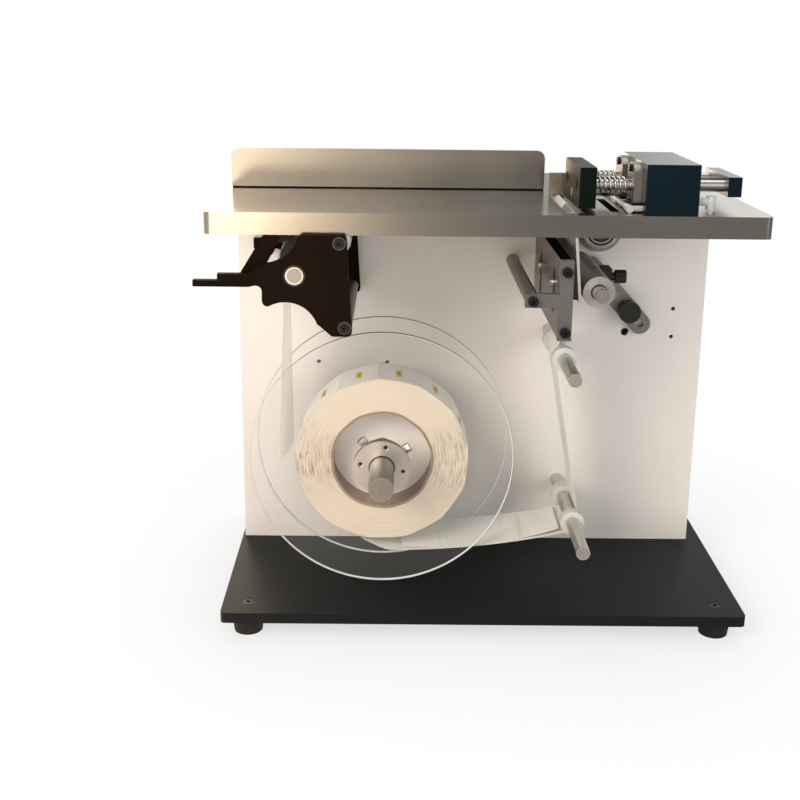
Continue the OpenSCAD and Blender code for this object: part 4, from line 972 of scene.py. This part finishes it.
def floor_look():
    """White floor that darkens only under the machine, and glows at the left in reflections."""
    mat = bpy.data.materials.new("floor_white")
    mat.use_nodes = True
    st = Stage(mat.node_tree)
    coord = st.add("ShaderNodeTexCoord")
    axes = st.add("ShaderNodeSeparateXYZ")
    st.link(coord.outputs["Object"], axes.inputs[0])
    far = st.add("ShaderNodeVectorMath")
    far.operation = "LENGTH"
    st.link(coord.outputs["Object"], far.inputs[0])
    fade = st.math("MULTIPLY_ADD", st.spread(far.outputs["Value"], 0.22, 0.42), 0.34)
    fade.node.inputs[2].default_value = 0.66
    lit = st.add("ShaderNodeBsdfDiffuse", Color=(0.82, 0.82, 0.82, 1))
    plain = st.mix(st.math("MULTIPLY", st.seen, fade), lit, st.add("ShaderNodeEmission", Color=WHITE))
    glow = st.add("ShaderNodeEmission")
    across = st.ramp(st.spread(axes.outputs[0], -1.0, 1.2), [
        (0.06, (1.4, 1.2, 1.0)), (0.17, (9.0, 7.6, 5.8)), (0.23, (9.0, 7.6, 5.8)), (0.31, (3.3, 2.65, 2.0)),
        (0.41, (0.82, 0.70, 0.60)), (0.62, (0.41, 0.41, 0.38))])
    st.link(across, glow.inputs["Color"])
    st.link(st.mix(st.mirrored, plain, glow).outputs[0], st.add("ShaderNodeOutputMaterial").inputs["Surface"])
    return mat


def sky_look():
    """Even white light, with a warm bright side at the left in reflections."""
    world = bpy.data.worlds.new("studio")
    world.use_nodes = True
    st = Stage(world.node_tree)
    coord = st.add("ShaderNodeTexCoord")
    axes = st.add("ShaderNodeSeparateXYZ")
    st.link(coord.outputs["Generated"], axes.inputs[0])
    sky = st.add("ShaderNodeBackground", Strength=1.0)
    height = st.ramp(axes.outputs[2], [
        (0.0, (0.45, 0.43, 0.41)), (0.18, (0.75, 0.74, 0.71)), (0.45, (0.93, 0.93, 0.93)),
        (0.75, (0.36, 0.36, 0.36))])
    across = st.ramp(st.spread(axes.outputs[0], -0.7, 0.3), [
        (0.12, (1.4, 1.2, 1.05)), (0.36, (8.0, 6.7, 5.4)), (0.51, (8.8, 7.3, 5.8)), (0.60, (2.6, 2.2, 1.85)),
        (0.68, (0.86, 0.85, 0.82)), (0.84, (0.76, 0.79, 0.76)), (0.95, (1.75, 1.77, 1.74))])
    both = st.add("ShaderNodeVectorMath")
    both.operation = "MULTIPLY"
    st.link(height, both.inputs[0])
    st.link(across, both.inputs[1])
    st.link(both.outputs["Vector"], sky.inputs["Color"])
    dim = st.add("ShaderNodeBackground", Color=WHITE, Strength=0.54)
    plain = st.mix(st.seen, dim, st.add("ShaderNodeBackground", Color=WHITE, Strength=1.0))
    st.link(st.mix(st.mirrored, plain, sky).outputs[0], st.add("ShaderNodeOutputWorld").inputs["Surface"])
    return world


bpy.ops.mesh.primitive_plane_add(size=8, location=(0, 0, 0))
floor = bpy.context.object
floor.name = "floor"
floor.data.materials.append(floor_look())
scene.world = sky_look()

LAMP_SIZE = 1.0
MIDDLE = Vector((0, 0, 0.17))


def lamp(name, where, power, color):
    """Round area light that faces the machine's middle."""
    d = bpy.data.lights.new(name, "AREA")
    d.shape = "DISK"
    d.size = LAMP_SIZE
    d.energy = power
    d.color = color
    o = bpy.data.objects.new(name, d)
    scene.collection.objects.link(o)
    o.location = where
    o.rotation_mode = "QUATERNION"
    o.rotation_quaternion = (MIDDLE - Vector(where)).to_track_quat("-Z", "Y")


lamp("key", (-1.0, -1.15, 0.95), 23.5, (1.0, 0.91, 0.82))
lamp("fill", (1.1, -1.2, 0.6), 7, (0.97, 1.0, 0.95))
lamp("top", (0.1, 0.3, 1.6), 9, (1.0, 1.0, 1.0))

# camera fitted to points of the photograph
cam_data = bpy.data.cameras.new("camera")
cam_data.sensor_width = 36.0
cam_data.lens = 51.75
cam_data.shift_y = -0.094
cam_data.clip_start = 0.01
cam_data.clip_end = 100.0
cam = bpy.data.objects.new("camera", cam_data)
scene.collection.objects.link(cam)
CAM_AT = (-0.062164, -0.874669, 0.433816)
pitch, yaw, bank = (math.radians(a) for a in (14.2754, 0.3449, 0.6439))
fwd = Vector((math.sin(yaw) * math.cos(pitch), math.cos(yaw) * math.cos(pitch), -math.sin(pitch)))
right = Vector((math.cos(yaw), -math.sin(yaw), 0))
up = right.cross(fwd)
r_axis = right * math.cos(bank) + up * math.sin(bank)
u_axis = up * math.cos(bank) - right * math.sin(bank)
turn = Matrix((r_axis, u_axis, -fwd)).transposed().to_4x4()
cam.matrix_world = Matrix.Translation(CAM_AT) @ turn
scene.camera = cam
scene.view_settings.view_transform = "Standard"
